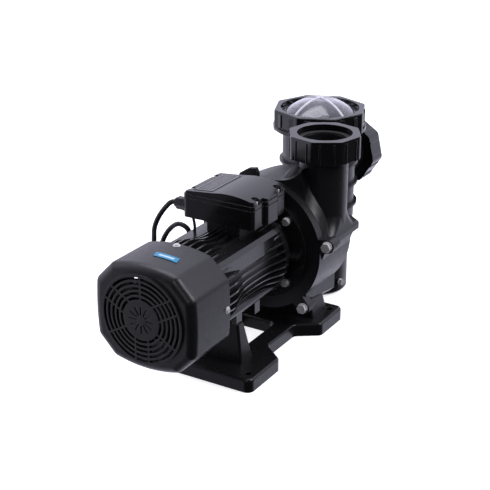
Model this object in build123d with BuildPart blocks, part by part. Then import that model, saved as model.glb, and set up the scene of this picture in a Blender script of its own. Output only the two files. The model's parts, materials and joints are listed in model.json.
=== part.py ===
"""Pool pump: a fan-cooled motor, a volute casing and a strainer pot on one base plate.

Millimetres. The origin is the centre of the four foot holes, on the underside of the base.
+Z is up. +Y runs along the motor shaft, from the fan towards the suction port.
"""

import os
from math import cos, pi, radians, sin, sqrt

from build123d import *

# ---------------------------------------------------------------- driving dimensions

axis_z = 132.5  # height of the shaft above the ground

# Base plate
foot_pitch_x = 155.0
foot_pitch_y = 234.0
foot_hole_r = 4.5
base_t = 19.5
base_wall = 5.0
base_half_width = 90.7
base_waist = 58.0
base_rear = -134.0
base_front = 137.0

# Motor, stations along the shaft and radii from it
cover_open_y = -159.0
cover_face_y = -243.0
cover_disc_y = -246.0
cover_wall = 2.5
frame_rear = -152.0
frame_front = 12.0
frame_bore = 47.0
frame_wall_r = 51.0
fin_tip_r = 65.0
fin_dip_r = 55.2
fin_t = 2.2
fin_count = 36
tie_r = 57.0
flange_rear = 38.0
flange_r = 78.0
flange_bolt_r = 66.0
core_rear = -116.0
core_front = -26.0
rotor_r = 26.7
stator_bore = 27.0
bearing_bore_r = 8.5
bearing_r = 20.0
bearing_width = 12.0
rear_bearing_y = -174.0
front_bearing_y = 14.0
shaft_r = 7.0

# Wet end, stations along the shaft
plate_rear = 44.0
joint_y = 51.0
casing_flange_front = 58.0
drum_front = 118.0
body_front = 140.0
rim_r = 97.0
drum_r = 94.0
chamber_r = 88.0
chamber_front = 112.0
casing_bolt_r = 110.0
casing_bolt_angles = (10, 138, 190, -49, -131)
casing_bolt_tip = 64.0
casing_bolt_hole_r = 4.2
lug_r = 10.0  # rounded lug around each casing bolt

# Ports, both made for a 63 mm pipe
discharge_x = 68.0
discharge_y = 106.0
suction_z = 200.0
port_r = 34.5
port_bore = 27.0
socket_r = 31.5
socket_depth = 36.0
collar_r = 44.0
collar_h = 20.5
nut_h = 33.0
nut_lip = 6.0
nut_hole_r = 39.0
nut_gap = 0.1
discharge_top = 294.6
suction_end = 339.0

# Strainer pot
pot_y = 220.0
pot_r = 55.3
pot_bore = 50.0
pot_low_r = 48.7
pot_low_bore = 44.0
pot_step_z = 105.0
pot_bottom = 3.0
pot_rim_z = 284.0
pot_rim_r = 61.7
ring_r = 66.0
ring_top = 294.0
ring_bottom = 263.0
drain_angle = -15.0
drain_z = 23.3

# Terminal box
box_half_x = 55.5
box_rear = -69.0
box_front = 20.0
box_bottom = 202.0
box_top = 228.6
box_wall = 3.0
lid_bottom = 229.8
gland_y = -56.0
gland_z = 215.0
cable_r = 3.5

# ---------------------------------------------------------------- helpers

shaft_side = Plane(origin=(0, 0, axis_z), x_dir=(0, 1, 0), z_dir=(1, 0, 0))
shaft_axis = Axis((0, 0, axis_z), (0, 1, 0))
pot_side = Plane(origin=(0, pot_y, 0), x_dir=(0, 1, 0), z_dir=(1, 0, 0))
pot_axis = Axis((0, pot_y, 0), (0, 0, 1))


def station(y):
    """Plane across the shaft at y: local x is +X, local y is up, extrusions run towards -Y."""
    return Plane(origin=(0, y, axis_z), x_dir=(1, 0, 0), z_dir=(0, -1, 0))


def disc(y_rear, y_front, radius, bore=0.0, mode=Mode.ADD):
    """Round disc or ring about the shaft."""
    with BuildSketch(station(y_front)) as face:
        Circle(radius)
        if bore:
            Circle(bore, mode=Mode.SUBTRACT)
    extrude(face.sketch, amount=y_front - y_rear, mode=mode)


def studs(y_rear, y_front, radius, circle_r, angles, mode=Mode.ADD):
    """Round rods parallel to the shaft, on a circle about it."""
    with BuildSketch(station(y_front)) as face:
        for angle in angles:
            with Locations((circle_r * cos(radians(angle)), circle_r * sin(radians(angle)))):
                Circle(radius)
    extrude(face.sketch, amount=y_front - y_rear, mode=mode)


def hexes(y_rear, y_front, across_flats, circle_r, angles):
    """Hexagonal heads or nuts parallel to the shaft, on a circle about it."""
    with BuildSketch(station(y_front)) as face:
        for angle in angles:
            with Locations((circle_r * cos(radians(angle)), circle_r * sin(radians(angle)))):
                RegularPolygon(across_flats / 2, 6, major_radius=False)
    extrude(face.sketch, amount=y_front - y_rear)


def column(x, y, z_low, z_high, radius, bore=0.0, mode=Mode.ADD):
    """Round upright post or ring."""
    with BuildSketch(Plane.XY.offset(z_low)) as face:
        with Locations((x, y)):
            Circle(radius)
            if bore:
                Circle(bore, mode=Mode.SUBTRACT)
    extrude(face.sketch, amount=z_high - z_low, mode=mode)


def turned(plane, axis, outline, mode=Mode.ADD):
    """Closed outline of (along, radius) points turned about an axis."""
    with BuildSketch(plane) as half:
        with BuildLine():
            Polyline(*outline, close=True)
        make_face()
    revolve(half.sketch, axis=axis, mode=mode)


def block(x_low, x_high, y_low, y_high, z_low, z_high, mode=Mode.ADD):
    """Square-edged block between three pairs of limits."""
    with BuildSketch(Plane.XY.offset(z_low)) as face:
        with Locations(((x_low + x_high) / 2, (y_low + y_high) / 2)):
            Rectangle(x_high - x_low, y_high - y_low)
    extrude(face.sketch, amount=z_high - z_low, mode=mode)


sub_parts = {}
corner_angles = (45, 135, 225, 315)

# ---------------------------------------------------------------- base plate

base_screw_x = 58.0  # under the casing foot
base_screw_y = 97.0
pedestal_screw_x = 43.0
pedestal_y = -85.0
screw_r = 3.0
screw_seat_z = 8.0
screw_spots = [
    (base_screw_x, base_screw_y),
    (-base_screw_x, base_screw_y),
    (pedestal_screw_x, pedestal_y),
    (-pedestal_screw_x, pedestal_y),
]

with BuildPart() as base_plate:
    with BuildSketch() as base_outline:
        with BuildLine():
            Polyline(
                (0, base_rear),
                (base_half_width, base_rear),
                (base_half_width, -56),
                (base_waist, -30),
                (base_waist, 44),
                (base_half_width, 67),
                (base_half_width, base_front),
                (0, base_front),
            )
            mirror(about=Plane.YZ)
        make_face()
        base_corners = [v for v in base_outline.vertices() if abs(v.X) > 1]
        fillet(base_corners, 10)
        with Locations((0, -12)):
            RectangleRounded(60, 96, 8, mode=Mode.SUBTRACT)
    extrude(amount=base_t)
    fillet(base_plate.faces().sort_by(Axis.Z)[-1].edges(), 4)
    # Hollow underside with bosses and ribs
    with BuildSketch():
        add(base_outline.sketch)
        offset(amount=-base_wall)
    extrude(amount=base_t - base_wall, mode=Mode.SUBTRACT)
    with BuildSketch():
        with GridLocations(foot_pitch_x, foot_pitch_y, 2, 2):
            Circle(11)
        with Locations(*screw_spots):
            Circle(10)
        with Locations((44, -97), (-44, -97), (44, 86), (-44, 86)):
            Rectangle(3, 66)
        with Locations((0, -97), (0, 86)):
            Rectangle(2 * base_half_width - 6, 3)
    extrude(amount=base_t - base_wall + 1)
    with BuildSketch():
        with GridLocations(foot_pitch_x, foot_pitch_y, 2, 2):
            Circle(foot_hole_r)
        with Locations(*screw_spots):
            Circle(screw_r)
    extrude(amount=base_t, mode=Mode.SUBTRACT)
    with BuildSketch():
        with Locations(*screw_spots):
            Circle(6.5)
    extrude(amount=screw_seat_z, mode=Mode.SUBTRACT)
sub_parts["base_plate"] = base_plate

with BuildPart() as base_screws:
    for spot_x, spot_y in screw_spots:
        column(spot_x, spot_y, screw_seat_z - 5, screw_seat_z, 5.2)
        column(spot_x, spot_y, screw_seat_z, base_t + 16, screw_r)
        with BuildSketch(Plane.XY.offset(screw_seat_z - 5)) as socket:
            with Locations((spot_x, spot_y)):
                RegularPolygon(2.5, 6)
        extrude(socket.sketch, amount=2.5, mode=Mode.SUBTRACT)
sub_parts["base_screws"] = base_screws

# ---------------------------------------------------------------- motor pedestal

pedestal_top = 73.6
saddle_r = fin_tip_r + 1.5

with BuildPart() as motor_pedestal:
    with BuildSketch(Plane.XY.offset(base_t)):
        with Locations((0, pedestal_y)):
            RectangleRounded(113.2, 30, 3)
    with BuildSketch(Plane.XY.offset(pedestal_top)):
        with Locations((0, pedestal_y - 2)):
            RectangleRounded(96, 15, 3)
    loft()
    disc(-110, -60, saddle_r, mode=Mode.SUBTRACT)
    with BuildSketch(Plane.XY.offset(base_t)) as pocket_low:
        with Locations((0, pedestal_y)):
            Rectangle(64, 20)
    with BuildSketch(Plane.XY.offset(56)) as pocket_high:
        with Locations((0, pedestal_y - 1)):
            Rectangle(60, 12)
    loft(sections=[pocket_low.sketch.face(), pocket_high.sketch.face()], mode=Mode.SUBTRACT)
    for side in (-1, 1):
        column(side * pedestal_screw_x, pedestal_y, base_t, base_t + 17, screw_r, mode=Mode.SUBTRACT)
sub_parts["motor_pedestal"] = motor_pedestal

# ---------------------------------------------------------------- motor frame

lobe_top = 48.0  # height of the corner lobes above the shaft
lobe_side = 52.0
lug_x = 42.0

with BuildPart() as motor_frame:
    with BuildSketch(station(frame_front)) as finned:
        Circle(frame_wall_r)
        fin_root = frame_wall_r - 1
        with PolarLocations((fin_root + fin_tip_r) / 2, fin_count, start_angle=5):
            Rectangle(fin_tip_r - fin_root, fin_t)
    extrude(amount=frame_front - frame_rear)
    # Waist of the fins, a long hollow turned into the tips
    with BuildSketch(shaft_side) as waist:
        with BuildLine():
            hollow = Spline(
                (-128, fin_tip_r + 0.4),
                (-99, fin_dip_r + 2.8),
                (-62, fin_dip_r),
                (-26, fin_dip_r + 2.6),
                (8, fin_tip_r + 0.4),
                tangents=[(1, -0.1), (1, 0.1)],
            )
            Polyline(hollow @ 1, (8, fin_tip_r + 8), (-128, fin_tip_r + 8), hollow @ 0)
        make_face()
    revolve(waist.sketch, axis=shaft_axis, mode=Mode.SUBTRACT)
    # Lobes above and round bosses below carry the tie bolts
    with BuildSketch(station(frame_front)) as lobes:
        with BuildLine():
            Polyline(
                (18, 30),
                (18, lobe_top),
                (lobe_side - 5, lobe_top),
                (lobe_side, lobe_top - 6),
                (lobe_side, 22),
                (30, 18),
                close=True,
            )
        make_face()
        mirror(about=Plane.YZ)
    extrude(lobes.sketch, amount=frame_front - frame_rear)
    studs(frame_rear, frame_front, 7.5, tie_r, corner_angles[2:])
    block(-26, 26, -54, 6, axis_z + lobe_top, box_bottom)
    for side in (-1, 1):
        lug_low = side * lug_x - 4
        lug_high = side * lug_x + 4
        block(lug_low, lug_high, -95, -81, pedestal_top, axis_z - lobe_top + 6)
        block(lug_low, lug_high, -47, -34, pedestal_top - 3, axis_z - lobe_top + 6)
    disc(frame_rear, frame_front, frame_bore, mode=Mode.SUBTRACT)
    studs(frame_rear, frame_front, 2.75, tie_r, corner_angles, mode=Mode.SUBTRACT)
    column(0, -24, axis_z + 30, box_bottom, 8, mode=Mode.SUBTRACT)
    column(-43, -60, axis_z + lobe_top - 6, axis_z + lobe_top, 2.1, mode=Mode.SUBTRACT)
sub_parts["motor_frame"] = motor_frame

# ---------------------------------------------------------------- endshields and their bolts

cover_screw_y = -165.0
tab_half_width = 6.0
cover_crown = 72.0  # top and bottom faces of the fan cover, at their middle
cover_bulge = 76.0  # side faces, at their middle

with BuildPart() as rear_endshield:
    disc(frame_rear - 12, frame_rear, 65)
    studs(frame_rear - 12, frame_rear, 8, tie_r, corner_angles)
    disc(frame_rear, frame_rear + 6, frame_bore, 41)
    disc(rear_bearing_y - 4, frame_rear, 26)
    tab_low = axis_z - cover_crown + cover_wall + 0.5
    tab_high = axis_z + cover_crown - cover_wall - 0.5
    tab_side = cover_bulge - cover_wall - 0.5
    block(-tab_half_width, tab_half_width, frame_rear - 18, frame_rear - 8, tab_low, tab_high)
    block(-tab_side, tab_side, frame_rear - 18, frame_rear - 8, axis_z - tab_half_width, axis_z + tab_half_width)
    disc(rear_bearing_y - 1, frame_rear, bearing_r, mode=Mode.SUBTRACT)
    disc(rear_bearing_y - 6, frame_rear, 9.5, mode=Mode.SUBTRACT)
    disc(frame_rear - 19, rear_bearing_y - 4, 40, 26, mode=Mode.SUBTRACT)
    studs(frame_rear - 12, frame_rear, 2.75, tie_r, corner_angles, mode=Mode.SUBTRACT)
    column(0, cover_screw_y, axis_z - 90, axis_z - 60, 2, mode=Mode.SUBTRACT)
    column(0, cover_screw_y, axis_z + 60, axis_z + 90, 2, mode=Mode.SUBTRACT)
    with BuildSketch(Plane.YZ.offset(-90)) as side_holes:
        with Locations((cover_screw_y, axis_z)):
            Circle(2)
    extrude(side_holes.sketch, amount=30, mode=Mode.SUBTRACT)
    with BuildSketch(Plane.YZ.offset(60)) as far_side_holes:
        with Locations((cover_screw_y, axis_z)):
            Circle(2)
    extrude(far_side_holes.sketch, amount=30, mode=Mode.SUBTRACT)
sub_parts["rear_endshield"] = rear_endshield

with BuildPart() as front_endshield:
    disc(frame_front, frame_front + 10, 61)
    studs(frame_front, frame_front + 10, 8, tie_r, corner_angles)
    disc(frame_front - 6, frame_front, frame_bore, 41)
    disc(frame_front, flange_rear, 52)
    disc(flange_rear, plate_rear, flange_r)
    with BuildSketch(station(flange_rear)) as webs:
        for web_angle in (0, 90, 180, 270):
            with Locations(Rot(0, 0, web_angle) * Pos(60, 0, 0)):
                Rectangle(24, 5)
    extrude(webs.sketch, amount=flange_rear - frame_front - 10)
    disc(frame_front - 7, frame_front - 2, 41, mode=Mode.SUBTRACT)
    disc(frame_front - 6, front_bearing_y + bearing_width, bearing_r, mode=Mode.SUBTRACT)
    disc(front_bearing_y + bearing_width, plate_rear, 9, mode=Mode.SUBTRACT)
    disc(front_bearing_y + bearing_width + 4, plate_rear, 40, mode=Mode.SUBTRACT)
    studs(frame_front, frame_front + 10, 2.5, tie_r, corner_angles, mode=Mode.SUBTRACT)
    studs(flange_rear, plate_rear, 3.2, flange_bolt_r, corner_angles, mode=Mode.SUBTRACT)
sub_parts["front_endshield"] = front_endshield

with BuildPart() as tie_bolts:
    hexes(frame_rear - 16, frame_rear - 12, 8, tie_r, corner_angles)
    studs(frame_rear - 12, frame_front + 8, 2.5, tie_r, corner_angles)
sub_parts["tie_bolts"] = tie_bolts

with BuildPart() as flange_bolts:
    hexes(flange_rear - 5.5, flange_rear - 1.5, 10, flange_bolt_r, corner_angles)
    studs(flange_rear - 1.5, flange_rear, 6, flange_bolt_r, corner_angles)
    studs(flange_rear, joint_y - 1, screw_r, flange_bolt_r, corner_angles)
sub_parts["flange_bolts"] = flange_bolts

# ---------------------------------------------------------------- stator and rotor

slot_count = 24
slot_in = 29.0
slot_out = 41.0

with BuildPart() as stator_core:
    disc(core_rear, core_front, frame_bore, stator_bore)
    with BuildSketch(station(core_front)) as slots:
        with PolarLocations((slot_in + slot_out) / 2, slot_count):
            Rectangle(slot_out - slot_in, 3.8)
        with PolarLocations((stator_bore + slot_in) / 2, slot_count):
            Rectangle(slot_in - stator_bore + 1, 1.6)
    extrude(slots.sketch, amount=core_front - core_rear, mode=Mode.SUBTRACT)
sub_parts["stator_core"] = stator_core

with BuildPart() as stator_windings:
    with BuildSketch(station(core_front + 2)) as bars:
        with PolarLocations((slot_in + slot_out) / 2, slot_count):
            Rectangle(slot_out - slot_in - 1.6, 2.8)
    extrude(bars.sketch, amount=core_front - core_rear + 4)
    for low, high in ((core_rear - 20, core_rear - 1), (core_front + 1, core_front + 20)):
        turned(
            shaft_side,
            shaft_axis,
            [
                (low, slot_in + 4),
                (low + 4, slot_in + 1),
                (high - 4, slot_in + 1),
                (high, slot_in + 2),
                (high, slot_out - 1),
                (high - 3, slot_out + 1),
                (low + 3, slot_out + 1),
                (low, slot_out - 2),
            ],
        )
sub_parts["stator_windings"] = stator_windings

rotor_seat_r = 12.0

with BuildPart() as rotor_core:
    disc(core_rear, core_front, rotor_r, rotor_seat_r)
sub_parts["rotor_core"] = rotor_core

with BuildPart() as rotor_end_rings:
    for low, high, outward in ((core_rear - 8, core_rear, -1), (core_front, core_front + 8, 1)):
        disc(low, high, rotor_r - 1, 17)
        vane_face = high + 7 if outward > 0 else low
        with BuildSketch(station(vane_face)) as vanes:
            with PolarLocations(21, 9):
                Rectangle(7, 2)
        extrude(vanes.sketch, amount=7)
sub_parts["rotor_end_rings"] = rotor_end_rings

shaft_tip = 98.0

with BuildPart() as shaft:
    turned(
        shaft_side,
        shaft_axis,
        [
            (-228, 0),
            (-228, shaft_r - 0.8),
            (-227.2, shaft_r),
            (-184, shaft_r),
            (-184, bearing_bore_r),
            (rear_bearing_y + bearing_width, bearing_bore_r),
            (rear_bearing_y + bearing_width, rotor_seat_r),
            (front_bearing_y, rotor_seat_r),
            (front_bearing_y, bearing_bore_r),
            (front_bearing_y + bearing_width + 3, bearing_bore_r),
            (front_bearing_y + bearing_width + 3, shaft_r),
            (92, shaft_r),
            (92, 5),
            (shaft_tip, 5),
            (shaft_tip, 0),
        ],
    )
sub_parts["shaft"] = shaft

# ---------------------------------------------------------------- bearings

race_t = 3.0
ball_r = 2.7
ball_count = 8
ball_circle_r = (bearing_bore_r + bearing_r) / 2


def bearing(y_rear):
    """Outer race, inner race and balls of one bearing."""
    y_front = y_rear + bearing_width
    with BuildPart() as outer_race:
        disc(y_rear, y_front, bearing_r, bearing_r - race_t)
    with BuildPart() as inner_race:
        disc(y_rear, y_front, bearing_bore_r + race_t, bearing_bore_r)
    with BuildPart() as balls:
        for i in range(ball_count):
            turn = 2 * pi * i / ball_count
            ball_x = ball_circle_r * cos(turn)
            ball_z = axis_z + ball_circle_r * sin(turn)
            with Locations((ball_x, (y_rear + y_front) / 2, ball_z)):
                Sphere(ball_r)
    return outer_race, inner_race, balls


rear_bearing = bearing(rear_bearing_y)
front_bearing = bearing(front_bearing_y)
for piece, rear_piece, front_piece in zip(("outer_race", "inner_race", "balls"), rear_bearing, front_bearing):
    sub_parts["rear_bearing_" + piece] = rear_piece
    sub_parts["front_bearing_" + piece] = front_piece

with BuildPart() as wave_washer:
    disc(rear_bearing_y - 0.9, rear_bearing_y - 0.1, bearing_r - 0.4, bearing_r - 3)
sub_parts["wave_washer"] = wave_washer

with BuildPart() as water_slinger:
    turned(
        shaft_side,
        shaft_axis,
        [(32, shaft_r), (32, 10), (34.5, 10), (36.5, 17), (38, 17), (37, 10), (39, 9.5), (39, shaft_r)],
    )
sub_parts["water_slinger"] = water_slinger

# ---------------------------------------------------------------- cooling fan

fan_r = 56.0
fan_rear = -228.0
fan_plate_y = -206.0
fan_blades = 7

with BuildPart() as cooling_fan:
    disc(fan_rear + 2, fan_plate_y + 2, 14)
    disc(fan_plate_y, fan_plate_y + 2, 46)
    with BuildSketch(station(fan_plate_y)) as blades:
        with PolarLocations(33, fan_blades):
            Rectangle(46, 2.2)
    extrude(blades.sketch, amount=fan_plate_y - fan_rear)
    disc(fan_rear, fan_rear + 2, 9.5, mode=Mode.SUBTRACT)
    disc(fan_rear, fan_plate_y + 3, shaft_r, mode=Mode.SUBTRACT)
sub_parts["cooling_fan"] = cooling_fan

# ---------------------------------------------------------------- fan cover

washer_r = 4.9
screw_hole_r = 2.1
top_seat = cover_crown - 0.5
side_seat = cover_bulge - 0.5
screw_seats = [
    Plane(origin=(0, cover_screw_y, axis_z + top_seat), z_dir=(0, 0, 1)),
    Plane(origin=(0, cover_screw_y, axis_z - top_seat), z_dir=(0, 0, -1)),
    Plane(origin=(side_seat, cover_screw_y, axis_z), z_dir=(1, 0, 0)),
    Plane(origin=(-side_seat, cover_screw_y, axis_z), z_dir=(-1, 0, 0)),
]

cover_corner_r = 13.0
cover_front_r = 11.0
grille_slots = 5
slot_first_r = 27.5
slot_pitch = 6.6
slot_width = 3.6
rib_t = 2.4


def cover_outline(y, inset, corner_r):
    """Octagon across the shaft with four wide bulged faces and four flat corners."""
    lean = inset * (sqrt(2) - 1)
    top = (49 - lean, 65 - inset)
    corner = (74 - inset, 39 - lean)
    crown = (0, cover_crown - inset)
    bulge = (cover_bulge - inset, 0)
    with BuildSketch(station(y)) as outline:
        with BuildLine():
            ThreePointArc((-top[0], top[1]), crown, top)
            Line(top, corner)
            ThreePointArc(corner, bulge, (corner[0], -corner[1]))
            Line((corner[0], -corner[1]), (top[0], -top[1]))
            ThreePointArc((top[0], -top[1]), (0, -crown[1]), (-top[0], -top[1]))
            Line((-top[0], -top[1]), (-corner[0], -corner[1]))
            ThreePointArc((-corner[0], -corner[1]), (-bulge[0], 0), (-corner[0], corner[1]))
            Line((-corner[0], corner[1]), (-top[0], top[1]))
        make_face()
        fillet(outline.vertices(), corner_r)
    return outline.sketch


# Solid cup of the fan cover and the smaller cup taken out of it, front edges rounded
with BuildPart() as cover_outside:
    extrude(cover_outline(cover_open_y, 0, cover_corner_r), amount=cover_open_y - cover_face_y)
    fillet(cover_outside.faces().sort_by(Axis.Y)[0].edges(), cover_front_r)

with BuildPart() as cover_hollow:
    hollow_side = cover_outline(cover_open_y, cover_wall, cover_corner_r - cover_wall)
    extrude(hollow_side, amount=cover_open_y - cover_face_y - cover_wall)
    fillet(cover_hollow.faces().sort_by(Axis.Y)[0].edges(), cover_front_r - cover_wall)

with BuildPart() as fan_cover:
    add(cover_outside.part)
    add(cover_hollow.part, mode=Mode.SUBTRACT)
    # Proud round face that carries the grille
    disc(cover_disc_y, cover_face_y + cover_wall, 61)
    with BuildSketch(station(cover_face_y + 5)) as slots:
        for i in reversed(range(grille_slots)):
            Circle(slot_first_r + i * slot_pitch + slot_width)
            Circle(slot_first_r + i * slot_pitch, mode=Mode.SUBTRACT)
        for arm_angle in (-90, 30, 150):
            with Locations(Rot(0, 0, arm_angle) * Pos(43, 10, 0), Rot(0, 0, arm_angle) * Pos(43, -10, 0)):
                Rectangle(40, rib_t, mode=Mode.SUBTRACT)
            with Locations(Rot(0, 0, arm_angle + 180) * Pos(43, 0, 0)):
                Rectangle(40, rib_t, mode=Mode.SUBTRACT)
    extrude(slots.sketch, amount=10, mode=Mode.SUBTRACT)
    # Shallow pinwheel pressed into the hub
    with BuildSketch(station(cover_disc_y + 1.2)) as pinwheel:
        with PolarLocations(12.5, 12):
            SlotOverall(12, 2)
    extrude(pinwheel.sketch, amount=2, mode=Mode.SUBTRACT)
    # Screw holes, each with a flat seat for its washer head
    for seat_plane in screw_seats:
        with BuildSketch(seat_plane) as seat:
            Circle(washer_r + 0.5)
        extrude(seat.sketch, amount=6, mode=Mode.SUBTRACT)
        with BuildSketch(seat_plane) as hole:
            Circle(screw_hole_r)
        extrude(hole.sketch, amount=-2 * cover_wall, mode=Mode.SUBTRACT)
sub_parts["fan_cover"] = fan_cover


def cover_screw(plane):
    """Washer-head screw standing on a plane through its seat, head outwards."""
    with BuildSketch(plane) as washer:
        Circle(washer_r)
    extrude(washer.sketch, amount=0.8)
    with BuildSketch(plane.offset(0.8)) as head:
        Circle(3.6)
    extrude(head.sketch, amount=1.8, taper=20)
    with BuildSketch(plane) as shank:
        Circle(2)
    extrude(shank.sketch, amount=-9)
    with BuildSketch(plane.offset(1.4)) as cross:
        Rectangle(3.6, 0.9)
        Rectangle(0.9, 3.6)
    extrude(cross.sketch, amount=2, mode=Mode.SUBTRACT)


with BuildPart() as fan_cover_screws:
    for seat_plane in screw_seats:
        cover_screw(seat_plane)
sub_parts["fan_cover_screws"] = fan_cover_screws

badge_y = -202.0
badge_t = 0.8
crown_r = (49**2 + (cover_crown - 65) ** 2) / (2 * (cover_crown - 65))

with BuildPart() as fan_cover_badge:
    with BuildSketch(Plane.XY.offset(axis_z + cover_crown - 2)) as badge_face:
        with BuildLine():
            Polyline((-6, badge_y - 6), (29, badge_y - 6), (26, badge_y + 6), (-9, badge_y + 6), close=True)
        make_face()
    extrude(badge_face.sketch, amount=5)
    crown_centre = Plane(
        origin=(0, badge_y + 20, axis_z + cover_crown - crown_r),
        x_dir=(1, 0, 0),
        z_dir=(0, -1, 0),
    )
    with BuildSketch(crown_centre) as shell:
        Circle(crown_r + badge_t)
        Circle(crown_r, mode=Mode.SUBTRACT)
    extrude(shell.sketch, amount=40, mode=Mode.INTERSECT)
sub_parts["fan_cover_badge"] = fan_cover_badge

# ---------------------------------------------------------------- terminal box

box_mid_y = (box_rear + box_front) / 2
box_len = box_front - box_rear
lid_screw_x = 49.5
lid_screw_ys = (-53.0, 4.0)
lid_screw_tip = box_top - 5.2
lid_crown = 245.5


def box_outline(z, inset=0.0):
    """Plan outline of the terminal box, with the swell on its right side."""
    with BuildSketch(Plane.XY.offset(z)) as outline:
        with Locations((0, box_mid_y)):
            RectangleRounded(2 * (box_half_x - inset), box_len - 2 * inset, max(6 - inset, 1.5))
        with Locations((box_half_x - 10 - inset, box_mid_y)):
            RectangleRounded(30, 34 - inset, 5)
    return outline.sketch


with BuildPart() as terminal_box:
    extrude(box_outline(box_bottom), amount=box_top - box_bottom)
    extrude(box_outline(box_bottom + box_wall, box_wall), amount=box_top - box_bottom, mode=Mode.SUBTRACT)
    for side in (-1, 1):
        for screw_y in lid_screw_ys:
            column(side * lid_screw_x, screw_y, box_bottom + 1, box_top, 4.5)
            column(side * lid_screw_x, screw_y, lid_screw_tip, box_top, 1.5, mode=Mode.SUBTRACT)
    column(0, -24, box_bottom - 1, box_bottom + box_wall, 8, mode=Mode.SUBTRACT)
    column(-43, -60, box_bottom - 1, box_bottom + box_wall, 2.1, mode=Mode.SUBTRACT)
    with BuildSketch(Plane.YZ.offset(-box_half_x - 1)) as gland_hole:
        with Locations((gland_y, gland_z)):
            Circle(5.8)
    extrude(gland_hole.sketch, amount=box_wall + 4, mode=Mode.SUBTRACT)
sub_parts["terminal_box"] = terminal_box

with BuildPart() as terminal_lid_gasket:
    extrude(box_outline(box_top, 0.4), amount=lid_bottom - box_top)
    extrude(box_outline(box_top, box_wall), amount=lid_bottom - box_top, mode=Mode.SUBTRACT)
sub_parts["terminal_lid_gasket"] = terminal_lid_gasket

panel_low = (-50.0, 239.5)
panel_high = (-8.0, 243.5)

with BuildPart() as terminal_box_lid:
    extrude(box_outline(lid_bottom), amount=20)
    # Crowned top: a flat slope under the panel, then one long arch
    with BuildSketch(Plane(origin=(0, box_front + 1, 0), x_dir=(1, 0, 0), z_dir=(0, -1, 0))) as crown_profile:
        with BuildLine():
            Polyline(
                panel_high,
                panel_low,
                (-box_half_x - 1, 236.5),
                (-box_half_x - 1, lid_bottom),
                (box_half_x + 6, lid_bottom),
                (box_half_x + 6, 238),
            )
            ThreePointArc((box_half_x + 6, 238), (24, lid_crown), panel_high)
        make_face()
    extrude(crown_profile.sketch, amount=box_len + 2, mode=Mode.INTERSECT)
    # Stepped skirt around the top edge
    lid_edge_z = 235.0
    with BuildSketch(Plane.XY.offset(lid_edge_z)) as skirt:
        add(box_outline(lid_edge_z, -3))
        add(box_outline(lid_edge_z, 1.6), mode=Mode.SUBTRACT)
    extrude(skirt.sketch, amount=20, mode=Mode.SUBTRACT)
    # Hollow inside
    extrude(box_outline(lid_bottom, box_wall), amount=4.5, mode=Mode.SUBTRACT)
    for side in (-1, 1):
        for screw_y in lid_screw_ys:
            column(side * lid_screw_x, screw_y, lid_bottom, lid_bottom + 4.5, 4.5)
            column(side * lid_screw_x, screw_y, lid_bottom, lid_bottom + 30, 1.8, mode=Mode.SUBTRACT)
            column(side * lid_screw_x, screw_y, lid_bottom + 4.5, lid_bottom + 30, 5, mode=Mode.SUBTRACT)
            far_x = side * (box_half_x + 8)
            near_x = side * lid_screw_x
            block(
                min(near_x, far_x),
                max(near_x, far_x),
                screw_y - 4,
                screw_y + 4,
                lid_bottom + 4.5,
                lid_bottom + 30,
                mode=Mode.SUBTRACT,
            )
sub_parts["terminal_box_lid"] = terminal_box_lid

with BuildPart() as terminal_lid_screws:
    for side in (-1, 1):
        for screw_y in lid_screw_ys:
            column(side * lid_screw_x, screw_y, lid_bottom + 4.5, lid_bottom + 7.5, 3.6)
            column(side * lid_screw_x, screw_y, lid_screw_tip, lid_bottom + 4.5, 1.5)
            with BuildSketch(Plane.XY.offset(lid_bottom + 6.3)) as cross:
                with Locations((side * lid_screw_x, screw_y)):
                    Rectangle(4, 1)
                    Rectangle(1, 4)
            extrude(cross.sketch, amount=3, mode=Mode.SUBTRACT)
sub_parts["terminal_lid_screws"] = terminal_lid_screws

film_t = 0.5

with BuildPart() as panel_film:
    slope = (panel_high[1] - panel_low[1]) / (panel_high[0] - panel_low[0])
    with BuildSketch(Plane(origin=(0, box_front - 8, 0), x_dir=(1, 0, 0), z_dir=(0, -1, 0))):
        with BuildLine():
            film_a = (-42.0, panel_low[1] + 8 * slope)
            film_b = (-12.0, panel_high[1] - 4 * slope)
            Polyline(film_a, film_b, (film_b[0], film_b[1] + film_t), (film_a[0], film_a[1] + film_t), close=True)
        make_face()
    extrude(amount=box_len - 16)
sub_parts["panel_film"] = panel_film

with BuildPart() as terminal_block:
    block(-38, -2, -62, -48, box_bottom + box_wall, box_bottom + 15)
    for i in range(3):
        column(-32 + 12 * i, -55, box_bottom + 11, box_bottom + 15, 2.6, mode=Mode.SUBTRACT)
        column(-32 + 12 * i, -55, box_bottom + 11, box_bottom + 14, 2.3)
sub_parts["terminal_block"] = terminal_block

with BuildPart() as run_capacitor:
    with BuildSketch(Plane.XZ.offset(60)) as can:
        with Locations((28, box_bottom + box_wall + 11)):
            Circle(11)
    extrude(can.sketch, amount=-64)
    fillet(run_capacitor.edges().filter_by(GeomType.CIRCLE), 1.5)
sub_parts["run_capacitor"] = run_capacitor

# ---------------------------------------------------------------- cable gland and cables


def along_x(x_low, x_high, radius, bore, sides=0):
    """Ring or hexagonal ring on the gland's axis."""
    with BuildSketch(Plane.YZ.offset(x_low)) as face:
        with Locations((gland_y, gland_z)):
            if sides:
                RegularPolygon(radius, sides, major_radius=False)
            else:
                Circle(radius)
            Circle(bore, mode=Mode.SUBTRACT)
    extrude(face.sketch, amount=x_high - x_low)


gland_bore = cable_r + 0.1
gland_face_x = -box_half_x

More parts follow.
